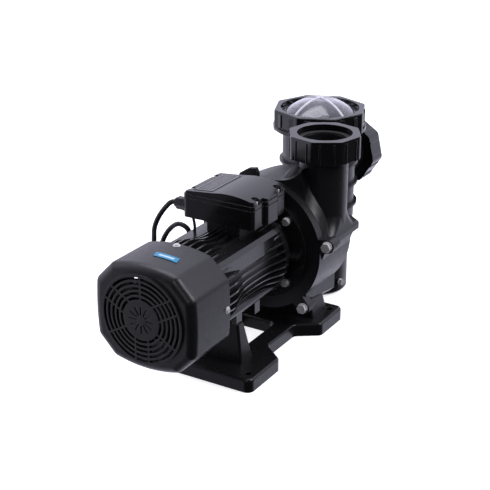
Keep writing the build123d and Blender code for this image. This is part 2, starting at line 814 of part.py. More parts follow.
with BuildPart() as cable_gland_body:
    along_x(gland_face_x, gland_face_x + box_wall + 3, 5.8, gland_bore)
    along_x(gland_face_x - 5, gland_face_x, 8.5, gland_bore, 6)
    along_x(gland_face_x - 13, gland_face_x - 5, 6.4, gland_bore)
sub_parts["cable_gland_body"] = cable_gland_body

with BuildPart() as cable_gland_nut:
    along_x(gland_face_x - 16, gland_face_x - 6, 8, 6.5, 6)
    along_x(gland_face_x - 19, gland_face_x - 16, 6.6, gland_bore)
sub_parts["cable_gland_nut"] = cable_gland_nut

cable_path = [  # points the cable passes through, from the gland to its turn down to the floor
    (gland_face_x - 20.5, gland_y, gland_z),
    (-85, -60, 211),
    (-105, -68, 168),
    (-108, -70, 100),
    (-111, -47, 96),
    (-104, -46, 152),
    (-84, -45, 176),
    (-66, -42, 172),
    (-68, -40, 160),
    (-88, -32, 112),
]
cable_floor_z = cable_r + 0.3

with BuildPart() as power_cable:
    with BuildLine() as cable_line:
        cable_start = Line((gland_face_x + 4, gland_y, gland_z), cable_path[0])
        run = cable_start
        for point in cable_path[1:]:
            run = TangentArc(run @ 1, point, tangent=run % 1)
        run = Spline(run @ 1, (-97, 60, cable_floor_z), tangents=[run % 1, (0, 1, 0)])
        Line(run @ 1, (-97, 110, cable_floor_z))
    with BuildSketch(Plane(origin=cable_start @ 0, z_dir=(-1, 0, 0))):
        Circle(cable_r)
    sweep()
sub_parts["power_cable"] = power_cable

with BuildPart() as motor_lead:
    column(-43, -60, axis_z + lobe_top - 5, box_bottom + 8, 2)
sub_parts["motor_lead"] = motor_lead

# ---------------------------------------------------------------- back plate and seal

seal_seat_r = 13.0
spigot_front = 57.0
groove_rear = 52.2
groove_front = 55.8

with BuildPart() as back_plate:
    disc(plate_rear, joint_y, rim_r)
    with BuildSketch(station(joint_y)) as plate_lugs:
        for angle in casing_bolt_angles:
            with Locations(Rot(0, 0, angle) * Pos(casing_bolt_r, 0, 0)):
                Circle(lug_r)
            with Locations(Rot(0, 0, angle) * Pos(casing_bolt_r - lug_r, 0, 0)):
                Rectangle(2 * lug_r, 2 * lug_r)
    extrude(plate_lugs.sketch, amount=joint_y - plate_rear)
    disc(joint_y, spigot_front, chamber_r - 0.2)
    disc(spigot_front, 66, 24)
    disc(plate_rear, 60, 9, mode=Mode.SUBTRACT)
    disc(60, 66, seal_seat_r, mode=Mode.SUBTRACT)
    disc(groove_rear, groove_front, chamber_r + 1, chamber_r - 3.8, mode=Mode.SUBTRACT)
    studs(plate_rear, joint_y, casing_bolt_hole_r, casing_bolt_r, casing_bolt_angles, mode=Mode.SUBTRACT)
    studs(plate_rear, joint_y - 1, screw_r, flange_bolt_r, corner_angles, mode=Mode.SUBTRACT)
sub_parts["back_plate"] = back_plate

with BuildPart() as casing_o_ring:
    with BuildSketch(shaft_side):
        with Locations(((groove_rear + groove_front) / 2, chamber_r - 1.9)):
            Circle(1.75)
    revolve(axis=shaft_axis)
sub_parts["casing_o_ring"] = casing_o_ring

with BuildPart() as seal_seat:
    disc(60, 66, seal_seat_r, shaft_r + 0.8)
sub_parts["seal_seat"] = seal_seat

with BuildPart() as seal_head:
    turned(
        shaft_side,
        shaft_axis,
        [(66.1, shaft_r), (66.1, 10), (67.5, 10), (67.5, 11.5), (72, 11.5), (72, shaft_r)],
    )
sub_parts["seal_head"] = seal_head

spring_r = 9.4
spring_wire_r = 0.7

with BuildPart() as seal_spring:
    with BuildLine():
        coil = Helix(pitch=2.4, height=6, radius=spring_r, center=(0, 72.9, axis_z), direction=(0, 1, 0))
    with BuildSketch(Plane(origin=coil @ 0, z_dir=coil % 0)):
        Circle(spring_wire_r)
    sweep(is_frenet=True)
sub_parts["seal_spring"] = seal_spring

# ---------------------------------------------------------------- impeller and wear ring

impeller_r = 58.0
impeller_rear = 80.0
eye_r = 20.0
blade_front = 91.0
impeller_blades = 6

with BuildPart() as impeller:
    disc(impeller_rear, impeller_rear + 3, impeller_r)
    disc(impeller_rear, 92, 12)
    disc(blade_front, 94, impeller_r, eye_r)
    disc(94, 101, eye_r + 3.5, eye_r)
    with BuildSketch(station(blade_front)) as curved_blades:
        for i in range(impeller_blades):
            with Locations(Rot(0, 0, 360 / impeller_blades * i)):
                with BuildLine():
                    outer = ThreePointArc((12, 6), (42, 9), (48, 30))
                    inner = ThreePointArc((50.5, 28.5), (44, 6), (12, 3))
                    Line(outer @ 1, inner @ 0)
                    Line(inner @ 1, outer @ 0)
                make_face()
    extrude(curved_blades.sketch, amount=blade_front - impeller_rear - 3)
    disc(impeller_rear, 92, shaft_r, mode=Mode.SUBTRACT)
sub_parts["impeller"] = impeller

with BuildPart() as impeller_nut:
    with BuildSketch(station(shaft_tip)) as nut_face:
        RegularPolygon(8, 6, major_radius=False)
        Circle(5, mode=Mode.SUBTRACT)
    extrude(nut_face.sketch, amount=shaft_tip - 92)
sub_parts["impeller_nut"] = impeller_nut

eye_tube_r = 32.0
wear_ring_r = 28.0

with BuildPart() as wear_ring:
    disc(95, 101, wear_ring_r, eye_r + 3.6)
sub_parts["wear_ring"] = wear_ring

# ---------------------------------------------------------------- strainer pot

rib_levels = (213.0, 180.0, 147.0)
basket_ledge_z = 250.0
inlet_window = 40.0


def pot_port(y_low, y_high, radius, mode=Mode.ADD):
    """Cylinder on the suction port's axis."""
    with BuildSketch(Plane(origin=(0, y_high, suction_z), x_dir=(1, 0, 0), z_dir=(0, -1, 0))) as face:
        Circle(radius)
    extrude(face.sketch, amount=y_high - y_low, mode=mode)


suction_collar = suction_end - nut_lip - 5.6  # outer face of the suction port
drain_plane = Plane(
    origin=(0, pot_y, drain_z),
    z_dir=(cos(radians(drain_angle)), sin(radians(drain_angle)), 0),
)


def drain_rod(start, end, radius, bore=0.0, mode=Mode.ADD):
    """Cylinder on the drain plug's axis, between two distances from the pot's centre."""
    with BuildSketch(drain_plane.offset(start)) as face:
        Circle(radius)
        if bore:
            Circle(bore, mode=Mode.SUBTRACT)
    extrude(face.sketch, amount=end - start, mode=mode)


with BuildPart() as strainer_pot:
    turned(
        pot_side,
        pot_axis,
        [
            (0, pot_bottom),
            (pot_low_r - 4, pot_bottom),
            (pot_low_r, pot_bottom + 4),
            (pot_low_r, pot_step_z - 16),
            (pot_r, pot_step_z + 20),
            (pot_r, ring_bottom - 8),
            (pot_rim_r, ring_bottom - 2),
            (pot_rim_r, pot_rim_z),
            (0, pot_rim_z),
        ],
    )
    for level in rib_levels:
        column(0, pot_y, level - 1.8, level + 1.8, pot_r + 4.7)
    pot_port(pot_y + 30, suction_collar, port_r)
    pot_port(suction_collar - collar_h, suction_collar, collar_r)
    drain_rod(40, pot_low_r + 1.6, 7)
    # Inside: the basket's ledge, the sump, the ports
    turned(
        pot_side,
        pot_axis,
        [
            (0, pot_bottom + 5),
            (pot_low_bore - 4, pot_bottom + 5),
            (pot_low_bore, pot_bottom + 9),
            (pot_low_bore, pot_step_z - 10),
            (pot_bore - 2, pot_step_z + 16),
            (pot_bore - 2, basket_ledge_z),
            (pot_bore + 1, basket_ledge_z),
            (pot_bore + 1, pot_rim_z),
            (0, pot_rim_z),
        ],
        mode=Mode.SUBTRACT,
    )
    pot_port(pot_y, suction_collar - socket_depth, port_bore, mode=Mode.SUBTRACT)
    pot_port(suction_collar - socket_depth, suction_collar, socket_r, mode=Mode.SUBTRACT)
    drain_rod(30, 60, 4, mode=Mode.SUBTRACT)
    block(-inlet_window, inlet_window, pot_y - 80, pot_y - 20, 98, 124, mode=Mode.SUBTRACT)
    # Groove for the lid O-ring in the rim's top
    column(0, pot_y, pot_rim_z - 2.6, pot_rim_z, 57.6, 54, mode=Mode.SUBTRACT)
sub_parts["strainer_pot"] = strainer_pot

# ---------------------------------------------------------------- volute casing

neck_half = 74.0
neck_low = 84.0
ledge_low = axis_z + 12.0
ledge_high = ledge_low + 11.5
ledge_edge = 106.0
foot_half = 72.4
drum_round = 16.0  # radius of the drum's front edge
discharge_collar = discharge_top - nut_lip - 5.6  # top face of the discharge port

root_low = ledge_high - 4
root_high = ledge_high + 26
root_steps = 4

# Flared root of the discharge pipe: plan outlines that shrink into the pipe
with BuildPart() as discharge_root:
    for i in range(root_steps + 1):
        climb = i / root_steps
        swell = (1 - climb) ** 2.6
        tuck = 1.2 * climb
        x_low = discharge_x - port_r - 16 * swell + tuck
        x_high = discharge_x + port_r + 2 * swell - tuck
        y_low = discharge_y - port_r - 18 * swell + tuck
        y_high = discharge_y + port_r + 9 * swell - tuck
        with BuildSketch(Plane.XY.offset(root_low + climb * (root_high - root_low))):
            with Locations(((x_low + x_high) / 2, (y_low + y_high) / 2)):
                RectangleRounded(x_high - x_low, y_high - y_low, 16 + (port_r - 19) * climb)
    loft()

# Shoulder of the volute that climbs towards the discharge pipe, lower at the rim than behind it
with BuildPart() as discharge_shoulder:
    shoulder_sections = []
    for shoulder_y, lift in ((casing_flange_front, 0), (112, 1)):
        with BuildSketch(station(shoulder_y)) as shoulder_face:
            with BuildLine():
                crest = Spline(
                    (-50, 80),
                    (-27, 90.5 + lift),
                    (-1, 95 + 6 * lift),
                    (25, 97.5 + 8 * lift),
                    (58, 118 + lift),
                )
                Polyline(crest @ 1, (66, 60), (-50, 60), crest @ 0)
            make_face()
        shoulder_sections.append(shoulder_face.sketch.face())
    loft(sections=shoulder_sections, ruled=True)
    with BuildSketch(Plane.XY.offset(axis_z + 50)) as shoulder_plan:
        with BuildLine():
            Polyline((-60, 58), (20, 58), (50, 76), (66, 76), (66, 120), (-60, 120), close=True)
        make_face()
    extrude(amount=80, mode=Mode.INTERSECT)

# Web that fills the corner between the rim and the front of the discharge pipe
with BuildPart() as discharge_web:
    with BuildSketch(station(casing_flange_front)) as web_rear:
        with BuildLine():
            ThreePointArc((20, 94), (65, 70.7), (95, 14))
            Polyline((95, 14), (60, 14), (20, 60), (20, 94))
        make_face()
    with BuildSketch(station(76)) as web_front:
        with BuildLine():
            web_crest = Spline((20, 98), (47, 115), (66, 92), (87, 50), (100, 14))
            Polyline(web_crest @ 1, (60, 14), (20, 60), (20, 98))
        make_face()
    loft(sections=[web_rear.sketch.face(), web_front.sketch.face()], ruled=True)

with BuildPart() as volute_casing:
    # Ledge plate with a rounded lip, wider where it carries the casing bolt
    with BuildSketch(Plane.XY.offset(ledge_low)) as ledge:
        with BuildLine():
            Polyline(
                (-84, joint_y),
                (ledge_edge + 8, joint_y),
                (ledge_edge + 8, casing_flange_front),
                (ledge_edge, 74),
                (ledge_edge, 150),
                (ledge_edge - 10, 158),
                (62, 184),
                (-62, 184),
                (-84, 160),
                close=True,
            )
        make_face()
        fillet(ledge.vertices().group_by(Axis.Y)[2:], 7)
    extrude(amount=ledge_high - ledge_low)
    lip_edges = volute_casing.faces().sort_by(Axis.Z)[-1].edges()
    fillet(lip_edges.filter_by(lambda edge: edge.center().Y > joint_y + 1), 4.5)
    # Drum around the impeller
    with BuildSketch(shaft_side) as drum:
        with BuildLine():
            arc_mid = drum_round * sin(pi / 4)
            Polyline(
                (drum_front, drum_r - drum_round),
                (drum_front, 0),
                (casing_flange_front, 0),
                (casing_flange_front, drum_r),
                (drum_front - drum_round, drum_r),
            )
            ThreePointArc(
                (drum_front - drum_round, drum_r),
                (drum_front - drum_round + arc_mid, drum_r - drum_round + arc_mid),
                (drum_front, drum_r - drum_round),
            )
        make_face()
    revolve(drum.sketch, axis=shaft_axis)
    disc(joint_y, casing_flange_front, rim_r)
    # Deeper lower half, its corners drawn down to the lower casing bolts
    with BuildSketch(station(body_front)) as lower_half:
        Circle(rim_r)
        with Locations((0, ledge_low - axis_z + rim_r / 2)):
            Rectangle(2 * rim_r, rim_r, mode=Mode.SUBTRACT)
    extrude(lower_half.sketch, amount=body_front - joint_y)
    corner_sections = []
    for corner_y, corner_drop in ((joint_y, 82), (body_front, 95)):
        with BuildSketch(station(corner_y)) as corner:
            with BuildLine():
                Polyline(
                    (0, -58),
                    (73, -58),
                    (73, 8 - corner_drop),
                    (65, -corner_drop),
                    (0, -corner_drop),
                )
                mirror(about=Plane.YZ)
            make_face()
        corner_sections.append(corner.sketch.face())
    loft(sections=corner_sections, ruled=True)
    # Bracket under the lip
    with BuildSketch(station(body_front - 4)) as bracket:
        with BuildLine():
            Polyline((80, 12.5), (ledge_edge - 2, 12.5), (rim_r, -6), (80, -10), close=True)
        make_face()
    extrude(bracket.sketch, amount=body_front - 4 - joint_y)
    # Bolt lugs on the rim, blind bosses behind them, and a plain lug on top
    with BuildSketch(station(casing_flange_front)) as casing_lugs:
        for angle in casing_bolt_angles:
            with Locations(Rot(0, 0, angle) * Pos(casing_bolt_r, 0, 0)):
                Circle(lug_r)
            with Locations(Rot(0, 0, angle) * Pos(casing_bolt_r - lug_r, 0, 0)):
                Rectangle(2 * lug_r, 2 * lug_r)
        with BuildLine():
            Polyline((-44, 84), (-38, 100), (-24, 109), (-12, 111), (-9, 104), (-9, 84), close=True)
        make_face()
    extrude(casing_lugs.sketch, amount=casing_flange_front - joint_y)
    studs(casing_flange_front, casing_bolt_tip + 3, lug_r - 1.5, casing_bolt_r, casing_bolt_angles)
    # Neck between the volute and the pot, its far end cut back to the pot's side
    with BuildSketch(station(pot_y)) as neck:
        with BuildLine():
            Polyline(
                (0, neck_low - axis_z),
                (neck_half - 22, neck_low - axis_z),
                (neck_half, neck_low - axis_z + 26),
                (neck_half, ledge_low - axis_z),
                (0, ledge_low - axis_z),
            )
            mirror(about=Plane.YZ)
        make_face()
    extrude(neck.sketch, amount=pot_y - drum_front)
    with BuildSketch(Plane.XY.offset(neck_low - 2)) as far_end:
        with BuildLine():
            Polyline((0, 182), (40, 184), (60, 170), (neck_half + 2, 158), (neck_half + 2, 240), (0, 240))
            mirror(about=Plane.YZ)
        make_face()
    extrude(far_end.sketch, amount=ledge_low - neck_low + 2, mode=Mode.SUBTRACT)
    # Discharge pipe, its root, its collar and the shoulder beside it
    add(discharge_root.part)
    add(discharge_shoulder.part)
    add(discharge_web.part)
    column(discharge_x, discharge_y, ledge_low, discharge_collar, port_r)
    column(discharge_x, discharge_y, discharge_collar - collar_h, discharge_collar, collar_r)
    # Foot
    with BuildSketch(Plane.XY.offset(base_t)) as foot_low:
        with Locations((0, 97)):
            RectangleRounded(2 * foot_half, 43, 3)
    with BuildSketch(Plane.XY.offset(66)) as foot_high:
        with Locations((0, 90)):
            RectangleRounded(2 * foot_half - 16, 40, 3)
    loft(sections=[foot_low.sketch.face(), foot_high.sketch.face()])
    # Chamber, suction passage, discharge bore and sockets
    disc(joint_y, chamber_front, chamber_r, mode=Mode.SUBTRACT)
    with BuildSketch(Plane.XY.offset(neck_low + 12)) as passage:
        with BuildLine():
            Polyline((0, drum_front + 4), (62, drum_front + 4), (62, 158), (36, 178), (36, pot_y), (0, pot_y))
            mirror(about=Plane.YZ)
        make_face()
    extrude(passage.sketch, amount=30, mode=Mode.SUBTRACT)
    column(discharge_x, discharge_y, ledge_high, discharge_collar, port_bore, mode=Mode.SUBTRACT)
    socket_floor = discharge_collar - socket_depth
    column(discharge_x, discharge_y, socket_floor, discharge_collar, socket_r, mode=Mode.SUBTRACT)
    # Hollow foot with a boss over each base screw
    block(-foot_half + 6, foot_half - 6, 82, 112, base_t, 33, mode=Mode.SUBTRACT)
    for side in (-1, 1):
        column(side * base_screw_x, base_screw_y, base_t, 40, 8)
        column(side * base_screw_x, base_screw_y, base_t, base_t + 17, screw_r, mode=Mode.SUBTRACT)
    # Eye tube that reaches back to the impeller
    disc(95, chamber_front, eye_tube_r)
    disc(95, drum_front + 14, eye_r + 2, mode=Mode.SUBTRACT)
    disc(95, 101, wear_ring_r, mode=Mode.SUBTRACT)
    studs(joint_y, casing_bolt_tip + 1, casing_bolt_hole_r, casing_bolt_r, casing_bolt_angles, mode=Mode.SUBTRACT)
    column(0, pot_y, 0, pot_rim_z, pot_low_r, mode=Mode.SUBTRACT)
    add(strainer_pot.part, mode=Mode.SUBTRACT)
sub_parts["volute_casing"] = volute_casing

# ---------------------------------------------------------------- casing bolts

washer_rear = plate_rear - 1.6

with BuildPart() as casing_bolts:
    hexes(washer_rear - 5.4, washer_rear, 12.6, casing_bolt_r, casing_bolt_angles)
    studs(washer_rear, casing_bolt_tip, 4, casing_bolt_r, casing_bolt_angles)
sub_parts["casing_bolts"] = casing_bolts

with BuildPart() as casing_washers:
    studs(washer_rear, plate_rear, 7.8, casing_bolt_r, casing_bolt_angles)
    studs(washer_rear, plate_rear, 4, casing_bolt_r, casing_bolt_angles, mode=Mode.SUBTRACT)
sub_parts["casing_washers"] = casing_washers

# ---------------------------------------------------------------- strainer basket

basket_r = 45.0
basket_low_r = 38.0
basket_bottom = 118.0
basket_wall = 2.0

with BuildPart() as strainer_basket:
    turned(
        pot_side,
        pot_axis,
        [
            (0, basket_bottom),
            (basket_low_r, basket_bottom),
            (basket_r, basket_ledge_z),
            (pot_bore + 0.4, basket_ledge_z),
            (pot_bore + 0.4, basket_ledge_z + 3),
            (basket_r - basket_wall, basket_ledge_z + 3),
            (basket_low_r - basket_wall, basket_bottom + basket_wall),
            (0, basket_bottom + basket_wall),
        ],
    )
    # Inlet opening that faces the suction port
    pot_port(pot_y, pot_y + 60, 29, mode=Mode.SUBTRACT)
    # Slots in the wall and holes in the floor
    slot_angles = [20 * i for i in range(18) if not 50 < 20 * i < 130]
    for slot_level in (132, 160, 188, 216):
        for angle in slot_angles:
            slot_plane = Plane(
                origin=(0, pot_y, slot_level + 8),
                x_dir=(0, 0, 1),
                z_dir=(cos(radians(angle)), sin(radians(angle)), 0),
            )
            with BuildSketch(slot_plane.offset(30)) as wall_slot:
                Rectangle(20, 4)
            extrude(wall_slot.sketch, amount=20, mode=Mode.SUBTRACT)
    with BuildSketch(Plane.XY.offset(basket_bottom)) as floor_holes:
        with Locations((0, pot_y)):
            with PolarLocations(26, 12):
                Circle(3)
            with PolarLocations(14, 6):
                Circle(3)
    extrude(floor_holes.sketch, amount=basket_wall, mode=Mode.SUBTRACT)
    # Fixed loop handle
    block(-3, 3, pot_y - 45, pot_y + 45, basket_ledge_z + 0.5, basket_ledge_z + 4.5)
    column(0, pot_y, basket_ledge_z + 0.5, basket_ledge_z + 4.5, 8)
sub_parts["strainer_basket"] = strainer_basket

# ---------------------------------------------------------------- clear lid, O-ring and lid ring

lid_flange_r = 61.4
lid_flange_t = 3.0
dome_r = 53.0
dome_apex = 308.0
dome_wall = 3.0
dome_base = pot_rim_z + lid_flange_t


def sphere_radius(base_r, rise):
    """Radius of the sphere whose cap has this base radius and rise."""
    return (base_r**2 + rise**2) / (2 * rise)


def dome(base_r, apex, base_z, mode=Mode.ADD):
    """Solid spherical cap standing on base_z."""
    rise = apex - base_z
    with BuildSketch(pot_side) as cap:
        with BuildLine():
            edge = base_r * sin(pi / 4)
            radius = sphere_radius(base_r, rise)
            edge_z = apex - radius + sqrt(radius**2 - edge**2)
            ThreePointArc((base_r, base_z), (edge, edge_z), (0, apex))
            Polyline((0, apex), (0, base_z), (base_r, base_z))
        make_face()
    revolve(cap.sketch, axis=pot_axis, mode=mode)


# Raised ribs that cross on top of the dome
with BuildPart() as dome_ribs:
    dome(dome_r + 0.6, dome_apex + 1.2, dome_base)
    dome(dome_r - 1, dome_apex - 1, dome_base, mode=Mode.SUBTRACT)
    with BuildSketch(Plane.XY.offset(dome_base)) as ribs:
        with Locations((0, pot_y)):
            with Locations(Rot(0, 0, 71), Rot(0, 0, 161)):
                Rectangle(2 * dome_r - 6, 3.2)
    extrude(ribs.sketch, amount=40, mode=Mode.INTERSECT)

with BuildPart() as clear_lid:
    column(0, pot_y, pot_rim_z, dome_base, lid_flange_r)
    dome(dome_r, dome_apex, dome_base)
    column(0, pot_y, pot_rim_z, dome_base, dome_r - dome_wall, mode=Mode.SUBTRACT)
    dome(dome_r - dome_wall, dome_apex - dome_wall, dome_base, mode=Mode.SUBTRACT)
    add(dome_ribs.part)
sub_parts["clear_lid"] = clear_lid

with BuildPart() as lid_o_ring:
    with BuildSketch(pot_side):
        with Locations((55.8, pot_rim_z - 1.3)):
            Circle(1.25)
    revolve(axis=pot_axis)
sub_parts["lid_o_ring"] = lid_o_ring

ring_lip_r = 59.0
ring_bore = pot_rim_r + 0.1
lip_bottom = dome_base + 0.2
ring_lugs = 8

with BuildPart() as lid_ring:
    with BuildSketch(Plane.XY.offset(ring_bottom)) as ring_outline:
        with Locations((0, pot_y)):
            RegularPolygon(ring_r, ring_lugs, major_radius=False)
        fillet(ring_outline.vertices(), 8)
    extrude(ring_outline.sketch, amount=ring_top - ring_bottom)
    fillet(lid_ring.faces().sort_by(Axis.Z)[-1].edges(), 1.5)
    column(0, pot_y, ring_bottom, ring_bottom + 5, ring_r + 4)
    # Grip pockets in the faces and grip lugs between them
    for i in range(2 * ring_lugs):
        lug_turn = 360 / (2 * ring_lugs) * (i + 0.5)
        grip = Plane(
            origin=(0, pot_y, (ring_top + ring_bottom) / 2 + 1.5),
            x_dir=(0, 0, 1),
            z_dir=(cos(radians(lug_turn)), sin(radians(lug_turn)), 0),
        )
        with BuildSketch(grip.offset(ring_r - 2)) as lug_face:
            RectangleRounded(20, 8, 1.5)
        extrude(lug_face.sketch, amount=4.2)
    column(0, pot_y, ring_bottom, lip_bottom, ring_bore, mode=Mode.SUBTRACT)
    column(0, pot_y, ring_bottom, ring_top, ring_lip_r, mode=Mode.SUBTRACT)
sub_parts["lid_ring"] = lid_ring

# ---------------------------------------------------------------- union nuts and gaskets

nut_flat_r = 48.8  # centre to the middle of a facet
nut_sides = 8
gasket_in = socket_r + 0.5
gasket_out = collar_r - 1
gasket_t = 3.0


def union_nut(base, turn):
    """Octagonal union nut; base is the plane of its open end, its normal runs to the lip."""
    with BuildSketch(base) as outline:
        RegularPolygon(nut_flat_r, nut_sides, major_radius=False, rotation=turn)
        fillet(outline.vertices(), 9)
    extrude(outline.sketch, amount=nut_h)
    with BuildSketch(base) as ribs:
        for i in range(nut_sides):
            facet_turn = turn + 360 / nut_sides * (i + 0.5)
            for shift in (-10, 10):
                with Locations(Rot(0, 0, facet_turn) * Pos(nut_flat_r, shift, 0)):
                    Circle(1.4)
    extrude(ribs.sketch, amount=nut_h - 4)
    with BuildSketch(base) as thread_bore:
        Circle(collar_r + nut_gap)
    extrude(thread_bore.sketch, amount=nut_h - nut_lip, mode=Mode.SUBTRACT)
    with BuildSketch(base) as lip_hole:
        Circle(nut_hole_r)
    extrude(lip_hole.sketch, amount=nut_h, mode=Mode.SUBTRACT)


def flat_gasket(plane):
    """Flat ring between a port's face and the nut's lip."""
    with BuildSketch(plane) as ring:
        Circle(gasket_out)
        Circle(gasket_in, mode=Mode.SUBTRACT)
    extrude(ring.sketch, amount=gasket_t)


discharge_base = Plane(origin=(discharge_x, discharge_y, discharge_top - nut_h), z_dir=(0, 0, 1))
suction_base = Plane(origin=(0, suction_end - nut_h, suction_z), x_dir=(1, 0, 0), z_dir=(0, 1, 0))

with BuildPart() as discharge_union_nut:
    union_nut(discharge_base, 9)
sub_parts["discharge_union_nut"] = discharge_union_nut

with BuildPart() as discharge_gasket:
    flat_gasket(Plane(origin=(discharge_x, discharge_y, discharge_collar), z_dir=(0, 0, 1)))
sub_parts["discharge_gasket"] = discharge_gasket

with BuildPart() as suction_union_nut:
    union_nut(suction_base, 10)
sub_parts["suction_union_nut"] = suction_union_nut

with BuildPart() as suction_gasket:
    flat_gasket(Plane(origin=(0, suction_collar, suction_z), x_dir=(1, 0, 0), z_dir=(0, 1, 0)))
sub_parts["suction_gasket"] = suction_gasket

# ---------------------------------------------------------------- drain plug

plug_seat = pot_low_r + 1.6

with BuildPart() as drain_plug_seal:
    drain_rod(plug_seat, plug_seat + 1, 6, 4.1)
sub_parts["drain_plug_seal"] = drain_plug_seal

with BuildPart() as drain_plug:
    drain_rod(plug_seat - 6.5, plug_seat + 1, 3.95)
    drain_rod(plug_seat + 1, plug_seat + 2.2, 5.6)
    with BuildSketch(drain_plane.offset(plug_seat + 2.2)) as plug_head:
        RegularPolygon(4, 6, major_radius=False)
    extrude(plug_head.sketch, amount=4)
sub_parts["drain_plug"] = drain_plug

# ---------------------------------------------------------------- write every sub-part

os.makedirs("parts", exist_ok=True)
for name, sub_part in sub_parts.items():
    sub_part.part.label = name
    export_step(sub_part.part, f"parts/{name}.step")
print(len(sub_parts), "sub-parts")
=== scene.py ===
"""Looks of the pool pump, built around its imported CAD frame.

Metres, in the frame of the CAD: +Z up, +Y along the motor shaft towards the suction port.
"""

import json
import math

import bmesh
import bpy
from mathutils import Matrix, Vector


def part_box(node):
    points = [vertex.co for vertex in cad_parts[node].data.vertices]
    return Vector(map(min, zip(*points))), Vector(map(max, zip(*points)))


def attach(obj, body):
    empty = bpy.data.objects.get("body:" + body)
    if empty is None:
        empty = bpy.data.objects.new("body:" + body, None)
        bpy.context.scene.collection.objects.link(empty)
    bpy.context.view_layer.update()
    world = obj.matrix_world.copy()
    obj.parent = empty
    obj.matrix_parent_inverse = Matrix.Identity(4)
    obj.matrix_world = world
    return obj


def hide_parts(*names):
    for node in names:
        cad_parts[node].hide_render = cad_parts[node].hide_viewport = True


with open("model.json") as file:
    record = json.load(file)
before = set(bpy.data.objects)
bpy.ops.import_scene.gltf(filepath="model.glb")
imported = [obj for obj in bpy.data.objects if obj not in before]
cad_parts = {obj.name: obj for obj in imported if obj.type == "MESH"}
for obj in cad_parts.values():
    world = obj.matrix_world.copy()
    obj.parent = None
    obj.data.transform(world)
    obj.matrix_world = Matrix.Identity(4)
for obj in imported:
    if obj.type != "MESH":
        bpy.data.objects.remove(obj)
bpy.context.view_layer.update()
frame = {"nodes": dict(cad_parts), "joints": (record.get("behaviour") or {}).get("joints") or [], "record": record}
nodes = frame["nodes"]

MM = 0.001

# ---------------------------------------------------------------- shader building blocks


def plug(tree, socket, value):
    """Links a node output to an input, or sets the input's value."""
    if isinstance(value, bpy.types.NodeSocket):
        tree.links.new(value, socket)
    else:
        socket.default_value = value


def node(tree, kind, inputs=None, **settings):
    """New shader node with its settings and inputs filled in."""
    made = tree.nodes.new("ShaderNode" + kind)
    for key, value in settings.items():
        setattr(made, key, value)
    for key, value in (inputs or {}).items():
        plug(tree, made.inputs[key], value)
    return made


def place(tree):
    """Position on the pump in metres."""
    return node(tree, "TexCoord").outputs["Object"]


def noise(tree, size, detail=3.0):
    """Cloudy 0 to 1 pattern whose lumps are about size across."""
    inputs = {
        "Vector": place(tree),
        "Scale": 1.0 / size,
        "Detail": detail,
        "Roughness": 0.55,
    }
    return node(tree, "TexNoise", inputs).outputs["Fac"]


def cells(tree, size):
    """Distance pattern of pebbles about size across."""
    inputs = {"Vector": place(tree), "Scale": 1.0 / size}
    return node(tree, "TexVoronoi", inputs, feature="F1").outputs["Distance"]


def remap(tree, value, low, high, to_low=0.0, to_high=1.0):
    """Value from low..high to to_low..to_high, held at the ends."""
    inputs = {
        "Value": value,
        "From Min": low,
        "From Max": high,
        "To Min": to_low,
        "To Max": to_high,
    }
    return node(tree, "MapRange", inputs).outputs["Result"]


def math_node(tree, operation, first, second=0.0):
    """One sum of two numbers."""
    made = node(tree, "Math", operation=operation)
    plug(tree, made.inputs[0], first)
    plug(tree, made.inputs[1], second)
    return made.outputs["Value"]


def blend_color(tree, mask, first, second):
    """First color where the mask is 0, second where it is 1."""
    made = node(tree, "Mix", data_type="RGBA")
    plug(tree, made.inputs["Factor"], mask)
    plug(tree, made.inputs["A"], first)
    plug(tree, made.inputs["B"], second)
    return made.outputs["Result"]


def bump(tree, height, depth, normal=None):
    """Surface normal tilted by a height pattern that is depth tall."""
    inputs = {"Height": height, "Distance": depth, "Strength": 1.0}
    if normal is not None:
        inputs["Normal"] = normal
    return node(tree, "Bump", inputs).outputs["Normal"]


def soft_edges(tree, radius):
    """Normal that rounds every sharp edge off by radius."""
    return node(tree, "Bevel", {"Radius": radius}, samples=4).outputs["Normal"]


def edge_mask(tree, radius):
    """1 along sharp edges, 0 on open faces."""
    geometry = node(tree, "NewGeometry")
    rounded = soft_edges(tree, radius)
    turn = node(tree, "VectorMath", operation="DOT_PRODUCT")
    plug(tree, turn.inputs[0], rounded)
    plug(tree, turn.inputs[1], geometry.outputs["True Normal"])
    return remap(tree, turn.outputs["Value"], 0.98, 0.75)


def facing_up(tree):
    """1 on faces that look straight up, 0 on walls and undersides."""
    normal = node(tree, "NewGeometry").outputs["Normal"]
    return remap(tree, node(tree, "SeparateXYZ", {"Vector": normal}).outputs["Z"], 0.35, 1.0)


def new_material(name):
    """Material with an empty principled surface; returns it with its tree and surface node."""
    material = bpy.data.materials.new(name)
    material.use_nodes = True
    tree = material.node_tree
    return material, tree, tree.nodes["Principled BSDF"]


def gray(level, blue=1.0):
    """Neutral color, a little bluer when blue is above 1."""
    return (level, level, level * blue, 1.0)


# ---------------------------------------------------------------- materials


